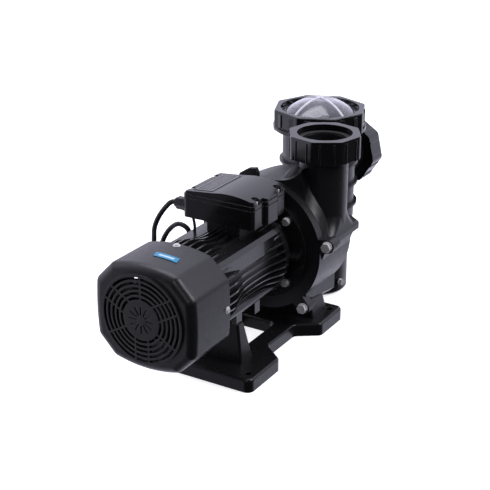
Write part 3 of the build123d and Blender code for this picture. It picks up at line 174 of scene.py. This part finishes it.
def moulded(name, tone, roughness, grain, grain_depth, edge, dust=0.15, edge_sheen_tone=0.025):
    """Black moulded plastic: fine spark grain, cloudy gloss, edges lightened partly as wear and partly as a
    painted highlight, a little dust on top.
    """
    material, tree, surface = new_material(name)
    mottle = noise(tree, 18 * MM, 4.0)
    pebbles = cells(tree, grain)
    edge_wear_and_sheen = edge_mask(tree, edge)
    body = blend_color(tree, mottle, gray(tone * 0.75, 1.08), gray(tone * 1.3, 1.08))
    # Sharp edges lightened towards edge_sheen_tone: part wear, part painted highlight along the facet ribs.
    worn_and_sheened = blend_color(tree, edge_wear_and_sheen, body, gray(edge_sheen_tone, 1.06))
    specks = remap(tree, noise(tree, 1.3 * MM, 2.0), 0.55, 0.75)
    dusty = math_node(tree, "MULTIPLY", facing_up(tree), math_node(tree, "MULTIPLY", specks, dust))
    plug(tree, surface.inputs["Base Color"], blend_color(tree, dusty, worn_and_sheened, gray(0.25)))
    gloss = remap(tree, noise(tree, 7 * MM, 5.0), 0.3, 0.7, roughness * 0.85, roughness * 1.15)
    plug(tree, surface.inputs["Roughness"], gloss)
    plug(tree, surface.inputs["Normal"], bump(tree, pebbles, grain_depth, soft_edges(tree, edge)))
    plug(tree, surface.inputs["Specular IOR Level"], 0.5)
    return material


def gloss_paint(name):
    """Black enamel on cast aluminium: orange peel over a faint casting grain, thin on the edges, where lighter
    chips also serve as a painted highlight on the fin tips.
    """
    material, tree, surface = new_material(name)
    peel = noise(tree, 2.4 * MM, 2.0)
    casting = noise(tree, 0.7 * MM, 3.0)
    edge_wear_and_sheen = edge_mask(tree, 0.5 * MM)
    # Lighter gray on the edges: paint chips and a painted highlight along the fin tips.
    chips_and_edge_glints = math_node(tree, "MULTIPLY", edge_wear_and_sheen, remap(tree, noise(tree, 3 * MM, 4.0), 0.4, 0.62, 0.35, 1.0))
    tone = blend_color(tree, noise(tree, 25 * MM), gray(0.006), gray(0.014, 1.1))
    plug(tree, surface.inputs["Base Color"], blend_color(tree, chips_and_edge_glints, tone, gray(0.2)))
    plug(tree, surface.inputs["Roughness"], remap(tree, casting, 0.3, 0.7, 0.2, 0.32))
    plug(tree, surface.inputs["Coat Weight"], 0.5)
    plug(tree, surface.inputs["Coat Roughness"], 0.06)
    rough_cast = bump(tree, casting, 0.05 * MM, soft_edges(tree, 0.5 * MM))
    plug(tree, surface.inputs["Normal"], bump(tree, peel, 0.12 * MM, rough_cast))
    return material


def plated(name, tone, warm, roughness):
    """Zinc plated or plain steel fastener: bright edges, cloudy plating, turning marks."""
    material, tree, surface = new_material(name)
    clouds = noise(tree, 2.5 * MM, 4.0)
    body = blend_color(tree, clouds, (tone * 0.8, tone * 0.79, tone * 0.78 / warm, 1.0), gray(tone))
    edge_wear_and_sheen = edge_mask(tree, 0.25 * MM)
    plug(tree, surface.inputs["Base Color"], blend_color(tree, edge_wear_and_sheen, body, gray(min(1.0, tone * 1.3))))
    plug(tree, surface.inputs["Metallic"], 0.35)
    plug(tree, surface.inputs["Roughness"], remap(tree, clouds, 0.3, 0.7, roughness * 0.8, roughness * 1.3))
    marks = noise(tree, 0.25 * MM, 2.0)
    plug(tree, surface.inputs["Normal"], bump(tree, marks, 0.02 * MM, soft_edges(tree, 0.25 * MM)))
    return material


def rubber(name, tone=0.018):
    """Matt black rubber with a fine bloom."""
    material, tree, surface = new_material(name)
    bloom = noise(tree, 4 * MM, 5.0)
    plug(tree, surface.inputs["Base Color"], blend_color(tree, bloom, gray(tone * 0.7), gray(tone * 1.7)))
    plug(tree, surface.inputs["Roughness"], remap(tree, bloom, 0.3, 0.7, 0.5, 0.75))
    plug(tree, surface.inputs["Normal"], bump(tree, noise(tree, 0.5 * MM, 3.0), 0.04 * MM))
    return material


def cable_sheath(name):
    """PVC cable sheath, satin, with a faint drawn grain."""
    material, tree, surface = new_material(name)
    drawn = noise(tree, 3 * MM, 4.0)
    plug(tree, surface.inputs["Base Color"], blend_color(tree, drawn, gray(0.014), gray(0.03, 1.05)))
    plug(tree, surface.inputs["Roughness"], remap(tree, drawn, 0.3, 0.7, 0.34, 0.5))
    plug(tree, surface.inputs["Normal"], bump(tree, noise(tree, 0.8 * MM, 3.0), 0.05 * MM))
    return material


def clear_plastic(name):
    """Clear polycarbonate with faint moulding haze and two frosted ribs that cross on the dome, whitened also as a
    painted highlight along the dome's ridges.
    """
    material, tree, surface = new_material(name)
    low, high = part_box("clear_lid")
    middle = (low + high) / 2
    split = node(tree, "SeparateXYZ", {"Vector": place(tree)})
    away_x = math_node(tree, "SUBTRACT", split.outputs["X"], middle.x)
    away_y = math_node(tree, "SUBTRACT", split.outputs["Y"], middle.y)
    rib_half_width = (2.6 * MM, 1.6 * MM)  # outside the first there is no frost, inside the second it is full
    ridge_frost_and_glint = 0.0
    for rib_turn in (math.radians(71), math.radians(161)):
        across = math_node(
            tree,
            "SUBTRACT",
            math_node(tree, "MULTIPLY", away_y, math.cos(rib_turn)),
            math_node(tree, "MULTIPLY", away_x, math.sin(rib_turn)),
        )
        rib = remap(tree, math_node(tree, "ABSOLUTE", across), *rib_half_width)
        ridge_frost_and_glint = math_node(tree, "MAXIMUM", ridge_frost_and_glint, rib)
    haze = noise(tree, 12 * MM)
    plug(tree, surface.inputs["Base Color"], (0.92, 0.92, 0.98, 1.0))
    # Less transmission on the ribs: frost and a painted highlight along the ridges.
    plug(tree, surface.inputs["Transmission Weight"], remap(tree, ridge_frost_and_glint, 0.0, 1.0, 0.95, 0.2))
    plug(tree, surface.inputs["IOR"], 1.58)
    plug(tree, surface.inputs["Roughness"], remap(tree, haze, 0.35, 0.7, 0.02, 0.09))
    plug(tree, surface.inputs["Normal"], bump(tree, noise(tree, 9 * MM, 2.0), 0.06 * MM))
    return material


def badge_blue(name):
    """Printed blue plate with a pale middle band."""
    material, tree, surface = new_material(name)
    low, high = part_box("fan_cover_badge")
    middle = (low + high) / 2
    split = node(tree, "SeparateXYZ", {"Vector": place(tree)})
    away_y = math_node(tree, "ABSOLUTE", math_node(tree, "SUBTRACT", split.outputs["Y"], middle.y))
    away_x = math_node(tree, "ABSOLUTE", math_node(tree, "SUBTRACT", split.outputs["X"], middle.x))
    band = remap(tree, away_y, 2.2 * MM, 1.6 * MM)
    ends = remap(tree, away_x, 12 * MM, 11 * MM)
    mark = math_node(tree, "MULTIPLY", band, ends)
    fleck = noise(tree, 1.5 * MM, 3.0)
    blue = blend_color(tree, fleck, (0.0, 0.21, 0.42, 1.0), (0.005, 0.3, 0.54, 1.0))
    plug(tree, surface.inputs["Base Color"], blend_color(tree, mark, blue, (0.55, 0.75, 0.85, 1.0)))
    plug(tree, surface.inputs["Roughness"], 0.22)
    plug(tree, surface.inputs["Normal"], soft_edges(tree, 0.3 * MM))
    return material


def printed_panel(name):
    """Satin black label film with a pale border line and rows of plain bars."""
    material, tree, surface = new_material(name)
    border_inset = 2.6 * MM
    row_pitch = 4.2 * MM
    low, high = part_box("panel_film")
    middle = (low + high) / 2
    split = node(tree, "SeparateXYZ", {"Vector": place(tree)})
    away_x = math_node(tree, "ABSOLUTE", math_node(tree, "SUBTRACT", split.outputs["X"], middle.x))
    away_y = math_node(tree, "ABSOLUTE", math_node(tree, "SUBTRACT", split.outputs["Y"], middle.y))
    from_side = math_node(tree, "SUBTRACT", (high.x - low.x) / 2, away_x)
    from_end = math_node(tree, "SUBTRACT", (high.y - low.y) / 2, away_y)
    inside = math_node(tree, "MINIMUM", from_side, from_end)
    off_line = math_node(tree, "ABSOLUTE", math_node(tree, "SUBTRACT", inside, border_inset))
    border = remap(tree, off_line, 0.4 * MM, 0.25 * MM)
    row = math_node(tree, "FRACT", math_node(tree, "DIVIDE", split.outputs["Y"], row_pitch))
    bars = math_node(tree, "MULTIPLY", remap(tree, row, 0.74, 0.78), remap(tree, inside, 6.8 * MM, 7 * MM))
    marks = math_node(tree, "MAXIMUM", border, math_node(tree, "MULTIPLY", bars, 0.45))
    mottle = noise(tree, 6 * MM, 4.0)
    film = blend_color(tree, mottle, gray(0.008), gray(0.014, 1.1))
    plug(tree, surface.inputs["Base Color"], blend_color(tree, marks, film, gray(0.42)))
    plug(tree, surface.inputs["Roughness"], remap(tree, mottle, 0.3, 0.7, 0.2, 0.3))
    plug(tree, surface.inputs["Specular IOR Level"], 0.36)
    plug(tree, surface.inputs["Normal"], bump(tree, noise(tree, 0.6 * MM, 3.0), 0.015 * MM))
    return material


def plain(name, color, roughness, metallic=0.0, grain=1.0 * MM, depth=0.04 * MM):
    """Part hidden inside the pump: a mottled color with a fine grain."""
    material, tree, surface = new_material(name)
    mottle = noise(tree, grain * 6, 4.0)
    dark = tuple(0.75 * c for c in color) + (1.0,)
    light = tuple(min(1.0, 1.15 * c) for c in color) + (1.0,)
    plug(tree, surface.inputs["Base Color"], blend_color(tree, mottle, dark, light))
    plug(tree, surface.inputs["Metallic"], metallic)
    plug(tree, surface.inputs["Roughness"], remap(tree, mottle, 0.3, 0.7, roughness * 0.8, roughness * 1.2))
    plug(tree, surface.inputs["Normal"], bump(tree, noise(tree, grain, 3.0), depth))
    return material


materials = {
    "gloss_black_paint": gloss_paint("gloss_black_paint"),
    "cover_plastic": moulded("cover_plastic", 0.011, 0.34, 0.45 * MM, 0.04 * MM, 1.2 * MM),
    "base_plastic": moulded("base_plastic", 0.008, 0.3, 0.5 * MM, 0.04 * MM, 0.8 * MM),
    "casing_plastic": moulded("casing_plastic", 0.011, 0.34, 0.6 * MM, 0.05 * MM, 0.8 * MM),
    "nut_plastic": moulded("nut_plastic", 0.006, 0.13, 0.5 * MM, 0.006 * MM, 0.8 * MM, 0.03, 0.12),
    "box_plastic": moulded("box_plastic", 0.006, 0.18, 0.5 * MM, 0.008 * MM, 0.7 * MM, 0.03, 0.1),
    "panel_print": printed_panel("panel_print"),
    "badge_blue": badge_blue("badge_blue"),
    "clear_polycarbonate": clear_plastic("clear_polycarbonate"),
    "zinc": plated("zinc", 0.9, 1.05, 0.4),
    "stainless": plated("stainless", 0.8, 1.0, 0.34),
    "core_steel": plain("core_steel", (0.28, 0.28, 0.3), 0.45, 1.0),
    "copper_winding": plain("copper_winding", (0.5, 0.2, 0.08), 0.35, 0.6),
    "cast_aluminium": plain("cast_aluminium", (0.55, 0.55, 0.57), 0.5, 1.0),
    "black_rubber": rubber("black_rubber"),
    "cable_sheath": cable_sheath("cable_sheath"),
    "basket_plastic": plain("basket_plastic", (0.07, 0.07, 0.08), 0.45),
    "impeller_plastic": plain("impeller_plastic", (0.05, 0.05, 0.05), 0.4),
    "fan_plastic": plain("fan_plastic", (0.03, 0.03, 0.032), 0.45),
    "ceramic": plain("ceramic", (0.8, 0.78, 0.73), 0.2),
    "terminal_plastic": plain("terminal_plastic", (0.7, 0.67, 0.57), 0.45),
    "capacitor_can": plain("capacitor_can", (0.75, 0.75, 0.75), 0.4),
}

slot_of = {part["node"]: part["material_slot"] for part in frame["record"]["subparts"]}
for name, piece in nodes.items():
    piece.data.materials.clear()
    piece.data.materials.append(materials[slot_of[name]])

# ---------------------------------------------------------------- mesh builders


def mesh_piece(name, points, faces, slot, smooth=True):
    """New mesh object with one material."""
    mesh = bpy.data.meshes.new(name)
    mesh.from_pydata([tuple(point) for point in points], [], faces)
    mesh.update()
    piece = bpy.data.objects.new(name, mesh)
    bpy.context.scene.collection.objects.link(piece)
    mesh.materials.append(materials[slot])
    if smooth:
        mesh.shade_smooth()
    return piece


def tangent_arcs(points, heading, steps=10):
    """Path through points as arcs, each leaving in the direction the last one arrived in."""
    path = [Vector(points[0])]
    heading = Vector(heading).normalized()
    for goal in points[1:]:
        start = path[-1]
        chord = Vector(goal) - start
        half_turn = heading.angle(chord)
        if half_turn < 0.001:
            path.append(Vector(goal))
            continue
        radius = chord.length / (2 * math.sin(half_turn))
        sideways = (chord - heading * chord.dot(heading)).normalized()
        for i in range(1, steps + 1):
            swung = 2 * half_turn * i / steps
            along = heading * radius * math.sin(swung)
            path.append(start + along + sideways * radius * (1 - math.cos(swung)))
        toward = chord.normalized()
        heading = (2 * heading.dot(toward) * toward - heading).normalized()
    return path, heading


def hermite(start, start_pull, end, end_pull, steps=24):
    """Smooth run between two points with a pull at each end; leaves out the start itself."""
    run = []
    for i in range(1, steps + 1):
        t = i / steps
        run.append(
            start * (2 * t**3 - 3 * t**2 + 1)
            + start_pull * (t**3 - 2 * t**2 + t)
            + end * (3 * t**2 - 2 * t**3)
            + end_pull * (t**3 - t**2)
        )
    return run


def tube(name, path, radius_at, slot, sides=24):
    """Round tube along a path; radius_at gives the radius for a fraction of the length."""
    points = []
    faces = []
    side_way = Vector((0, 0, 1))
    count = len(path)
    for i, spot in enumerate(path):
        ahead = path[min(i + 1, count - 1)] - path[max(i - 1, 0)]
        ahead.normalize()
        side_way = (side_way - ahead * side_way.dot(ahead)).normalized()
        across = ahead.cross(side_way)
        radius = radius_at(i / (count - 1))
        for j in range(sides):
            angle = 2 * math.pi * j / sides
            points.append(spot + (side_way * math.cos(angle) + across * math.sin(angle)) * radius)
    for i in range(count - 1):
        for j in range(sides):
            k = (j + 1) % sides
            faces.append((i * sides + j, i * sides + k, (i + 1) * sides + k, (i + 1) * sides + j))
    faces.append(tuple(range(sides - 1, -1, -1)))
    faces.append(tuple(range((count - 1) * sides, count * sides)))
    return mesh_piece(name, points, faces, slot)


def rounded_band(along_low, along_high, inner, outer, round_r, steps=5):
    """Cross-section of a flat ring with rounded corners, as (along, radius) points."""
    outline = []
    corners = (
        (along_high - round_r, outer - round_r, 0),
        (along_low + round_r, outer - round_r, 90),
        (along_low + round_r, inner + round_r, 180),
        (along_high - round_r, inner + round_r, 270),
    )
    for along, radius, first in corners:
        for i in range(steps + 1):
            angle = math.radians(first + 90 * i / steps)
            outline.append((along + round_r * math.cos(angle), radius + round_r * math.sin(angle)))
    return outline


def round_section(along, radius, wire_r, steps=16):
    """Circular cross-section of an O-ring, as (along, radius) points."""
    turns = [2 * math.pi * i / steps for i in range(steps)]
    return [(along + wire_r * math.cos(turn), radius + wire_r * math.sin(turn)) for turn in turns]


def lathe(name, centre, axis, outline, slot, segments=96):
    """Closed outline of (along, radius) points turned about an axis through centre."""
    axis = Vector(axis).normalized()
    first = axis.orthogonal().normalized()
    second = axis.cross(first)
    points = []
    faces = []
    count = len(outline)
    for i in range(segments):
        angle = 2 * math.pi * i / segments
        outward = first * math.cos(angle) + second * math.sin(angle)
        points += [Vector(centre) + axis * along + outward * radius for along, radius in outline]
    for i in range(segments):
        here = i * count
        there = (i + 1) % segments * count
        for j in range(count):
            k = (j + 1) % count
            faces.append((here + j, here + k, there + k, there + j))
    return mesh_piece(name, points, faces, slot)


def stand_for(piece, node_name):
    """The piece rides with a CAD node's body and is shown in its place."""
    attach(piece, body_of[node_name])
    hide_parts(node_name)


body_of = {
    node_name: body
    for body, members in frame["record"]["behaviour"]["bodies"].items()
    for node_name in members
}

# ---------------------------------------------------------------- power cable and motor lead

gland_low, gland_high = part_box("cable_gland_nut")
gland_spot = Vector((gland_high.x, (gland_low.y + gland_high.y) / 2, (gland_low.z + gland_high.z) / 2))
cable_r = 3.5 * MM
cable_floor_z = cable_r + 0.3 * MM
# Down from the gland, back up in a loop, then down to the floor; millimetres
cable_knots = [
    (-76, -56, 215),
    (-85, -60, 211),
    (-105, -68, 168),
    (-108, -70, 100),
    (-111, -47, 96),
    (-104, -46, 152),
    (-84, -45, 176),
    (-66, -42, 172),
    (-68, -40, 160),
    (-88, -32, 112),
]
knots = [Vector(knot) * MM for knot in cable_knots]
arcs, heading = tangent_arcs(knots, (-1, 0, 0))
floor_turn = Vector((-97 * MM, 60 * MM, cable_floor_z))  # where the cable meets the floor
floor_run = 50 * MM
drop = (floor_turn - arcs[-1]).length
landing = hermite(arcs[-1], heading * drop, floor_turn, Vector((0, drop, 0)))
floor_end = floor_turn + Vector((0, floor_run, 0))
lying = [floor_turn.lerp(floor_end, i / 6) for i in range(1, 7)]
cable_line = [gland_spot] + arcs + landing + lying
power_cable = tube("cable_sheath", cable_line, lambda way: cable_r, "cable_sheath", sides=28)
stand_for(power_cable, "power_cable")

lead_low, lead_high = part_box("motor_lead")
lead_middle = (lead_low + lead_high) / 2
lead_r = (lead_high.x - lead_low.x) / 2
lead_line = []
for i in range(25):
    climb = i / 24
    bow = 1.2 * MM * math.sin(math.pi * climb) * math.sin(2 * math.pi * climb)
    lead_z = lead_low.z + (lead_high.z - lead_low.z) * climb
    lead_line.append(Vector((lead_middle.x + bow, lead_middle.y, lead_z)))
motor_lead = tube("motor_lead_wire", lead_line, lambda way: lead_r, "cable_sheath", sides=20)
stand_for(motor_lead, "motor_lead")

# ---------------------------------------------------------------- gaskets, O-rings and the slinger

gasket_gap = 0.5  # millimetres between a port's bore and its gasket
gasket_round = 0.9 * MM
port_r = {mount["name"]: mount["dims"].get("r_mm") for mount in frame["record"]["mounts"]}

for port, node_name, axis in (
    ("discharge_port", "discharge_gasket", (0, 0, 1)),
    ("suction_port", "suction_gasket", (0, 1, 0)),
):
    low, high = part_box(node_name)
    middle = (low + high) / 2
    half = min(high - low) / 2
    inner = (port_r[port] + gasket_gap) * MM
    outer = max(high - low) / 2
    band = rounded_band(-half, half, inner, outer, gasket_round)
    stand_for(lathe(node_name + "_ring", middle, axis, band, "black_rubber"), node_name)

for node_name, axis in (("casing_o_ring", (0, 1, 0)), ("lid_o_ring", (0, 0, 1))):
    low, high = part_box(node_name)
    middle = (low + high) / 2
    wire_r = min(high - low) / 2
    section = round_section(0, max(high - low) / 2 - wire_r, wire_r)
    stand_for(lathe(node_name + "_ring", middle, axis, section, "black_rubber", 128), node_name)

low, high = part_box("drain_plug_seal")
drain_joint = next(joint for joint in frame["joints"] if joint["name"] == "drain_plug_turn")
washer = rounded_band(-0.5 * MM, 0.5 * MM, 4.1 * MM, 6 * MM, 0.3 * MM)
drain_seal = lathe("drain_plug_washer", (low + high) / 2, drain_joint["axis"], washer, "black_rubber", 64)
stand_for(drain_seal, "drain_plug_seal")

low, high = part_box("water_slinger")
shaft_r = 7 * MM
slinger_r = (high.z - low.z) / 2
length = high.y - low.y
slinger_outline = [
    (0, shaft_r),
    (0, slinger_r * 0.55),
    (length * 0.06, slinger_r * 0.6),
    (length * 0.36, slinger_r * 0.62),
    (length * 0.62, slinger_r * 0.97),
    (length * 0.74, slinger_r),
    (length * 0.86, slinger_r * 0.97),
    (length * 0.7, slinger_r * 0.6),
    (length, slinger_r * 0.56),
    (length, shaft_r),
]
slinger_spot = Vector(((low.x + high.x) / 2, low.y, (low.z + high.z) / 2))
slinger = lathe("water_slinger_disc", slinger_spot, (0, 1, 0), slinger_outline, "black_rubber")
stand_for(slinger, "water_slinger")


def softened_copy(name, node_name, slot, round_r):
    """The soft band of a CAD node, its mesh welded and its edges rounded."""
    source = nodes[node_name]
    band = bmesh.new()
    band.from_mesh(source.data)
    bmesh.ops.remove_doubles(band, verts=band.verts, dist=0.001 * MM)
    sharp = [edge for edge in band.edges if edge.is_manifold and edge.calc_face_angle() > 0.9]
    bmesh.ops.bevel(band, geom=sharp, offset=round_r, segments=3, profile=0.5, affect="EDGES")
    mesh = bpy.data.meshes.new(name)
    band.to_mesh(mesh)
    band.free()
    mesh.materials.clear()
    mesh.materials.append(materials[slot])
    mesh.shade_smooth()
    piece = bpy.data.objects.new(name, mesh)
    bpy.context.scene.collection.objects.link(piece)
    return piece


lid_gasket = softened_copy("terminal_gasket_band", "terminal_lid_gasket", "black_rubber", 0.3 * MM)
stand_for(lid_gasket, "terminal_lid_gasket")

# ---------------------------------------------------------------- small features on the hard parts


def rounded_block(name, size, spot, turn, slot, round_r):
    """Small moulded block with rounded edges, turned about the vertical."""
    block = bmesh.new()
    bmesh.ops.create_cube(block, size=1.0)
    bmesh.ops.scale(block, vec=size, verts=block.verts)
    bmesh.ops.bevel(block, geom=list(block.edges), offset=round_r, segments=3, profile=0.5, affect="EDGES")
    standing = Matrix.Translation(spot) @ Matrix.Rotation(turn, 4, "Z")
    bmesh.ops.transform(block, matrix=standing, verts=block.verts)
    mesh = bpy.data.meshes.new(name)
    block.to_mesh(mesh)
    block.free()
    mesh.materials.append(materials[slot])
    mesh.shade_smooth()
    piece = bpy.data.objects.new(name, mesh)
    bpy.context.scene.collection.objects.link(piece)
    return piece


# Castellated collar inside the lid ring, over the dome's foot
ring_low, ring_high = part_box("lid_ring")
ring_middle = (ring_low + ring_high) / 2
teeth = 16
tooth_size = (2.6 * MM, 7.5 * MM, 3.4 * MM)
tooth_r = 57.4 * MM
tooth_drop = 3.5 * MM  # below the ring's top
for i in range(teeth):
    turn = 2 * math.pi * (i + 0.5) / teeth
    spot = Vector((math.cos(turn), math.sin(turn), 0)) * tooth_r
    spot += Vector((ring_middle.x, ring_middle.y, ring_high.z - tooth_drop))
    tooth = rounded_block(f"lid_ring_tooth_{i + 1:02d}", tooth_size, spot, turn, "nut_plastic", 0.7 * MM)
    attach(tooth, body_of["lid_ring"])

# ---------------------------------------------------------------- stage

floor_mesh = bpy.data.meshes.new("floor")
reach = 6.0
floor_mesh.from_pydata(
    [(-reach, -reach, 0), (reach, -reach, 0), (reach, reach, 0), (-reach, reach, 0)],
    [],
    [(0, 1, 2, 3)],
)
floor = bpy.data.objects.new("floor", floor_mesh)
bpy.context.scene.collection.objects.link(floor)
pale, pale_tree, pale_surface = new_material("pale_floor")
floor_seen = node(pale_tree, "LightPath").outputs["Is Camera Ray"]
plug(pale_tree, pale_surface.inputs["Base Color"], blend_color(pale_tree, floor_seen, gray(0.3), gray(0.9)))
plug(pale_tree, pale_surface.inputs["Roughness"], 0.6)
plug(pale_tree, pale_surface.inputs["Emission Color"], gray(1.0))
plug(pale_tree, pale_surface.inputs["Emission Strength"], math_node(pale_tree, "MULTIPLY", floor_seen, 0.75))
floor_mesh.materials.append(pale)
floor.visible_glossy = False
floor.visible_diffuse = False


lamp_tint = (0.93, 0.92, 1.0)
wall_tint = (0.84, 0.83, 1.0, 1.0)
wall_glow = 1.05
room_glow = 0.05
backdrop_glow = 1.2
wall_azimuth = 140


def softbox(name, spot, target, width, height, power):
    """Rectangular studio light at spot, facing target."""
    light = bpy.data.lights.new(name, "AREA")
    light.shape = "RECTANGLE"
    light.size = width
    light.size_y = height
    light.energy = power
    light.color = lamp_tint
    lamp = bpy.data.objects.new(name, light)
    bpy.context.scene.collection.objects.link(lamp)
    lamp.location = spot
    lamp.rotation_mode = "QUATERNION"
    lamp.rotation_quaternion = (Vector(target) - Vector(spot)).to_track_quat("-Z", "Y")
    return lamp


aim = (0.0, 0.05, 0.15)
softbox("key", (1.5, 0.5, 1.5), aim, 1.1, 1.1, 22)
softbox("top", (-0.4, 0.3, 1.9), aim, 1.4, 1.0, 12)
softbox("left_strip", (-1.5, -0.9, 0.8), aim, 0.35, 1.6, 1.5)
softbox("fill", (0.5, -1.7, 1.3), aim, 0.7, 0.7, 4.5)

world = bpy.data.worlds.new("studio")
world.use_nodes = True
bpy.context.scene.world = world
sky = world.node_tree
background = sky.nodes["Background"]
way = node(sky, "TexCoord").outputs["Generated"]


def toward(azimuth, start, full):
    """0 to 1 as a direction turns towards a bright wall of the studio."""
    turn = math.radians(azimuth)
    wall = (math.cos(turn), math.sin(turn), 0.0)
    dot = node(sky, "VectorMath", operation="DOT_PRODUCT")
    plug(sky, dot.inputs[0], way)
    plug(sky, dot.inputs[1], wall)
    return remap(sky, dot.outputs["Value"], start, full)


# The walls behind the pump are bright, the camera's side of the room is dark
behind = math_node(sky, "MULTIPLY", toward(wall_azimuth, -0.2, 0.2), wall_glow)
ambient = math_node(sky, "ADD", behind, room_glow)
seen = node(sky, "LightPath").outputs["Is Camera Ray"]
plug(sky, background.inputs["Color"], wall_tint)
strength = node(sky, "Mix", data_type="FLOAT")
plug(sky, strength.inputs["Factor"], seen)
plug(sky, strength.inputs["A"], ambient)
plug(sky, strength.inputs["B"], backdrop_glow)
plug(sky, background.inputs["Strength"], strength.outputs["Result"])

bpy.context.scene.view_settings.view_transform = "Standard"

lens = bpy.data.cameras.new("camera")
lens.lens = 86.4
lens.sensor_width = 36.0
camera = bpy.data.objects.new("camera", lens)
bpy.context.scene.collection.objects.link(camera)
camera.location = (0.7905, -1.3024, 0.775)
camera.rotation_euler = (math.radians(67.6), 0.0, math.radians(31.2))
bpy.context.scene.camera = camera
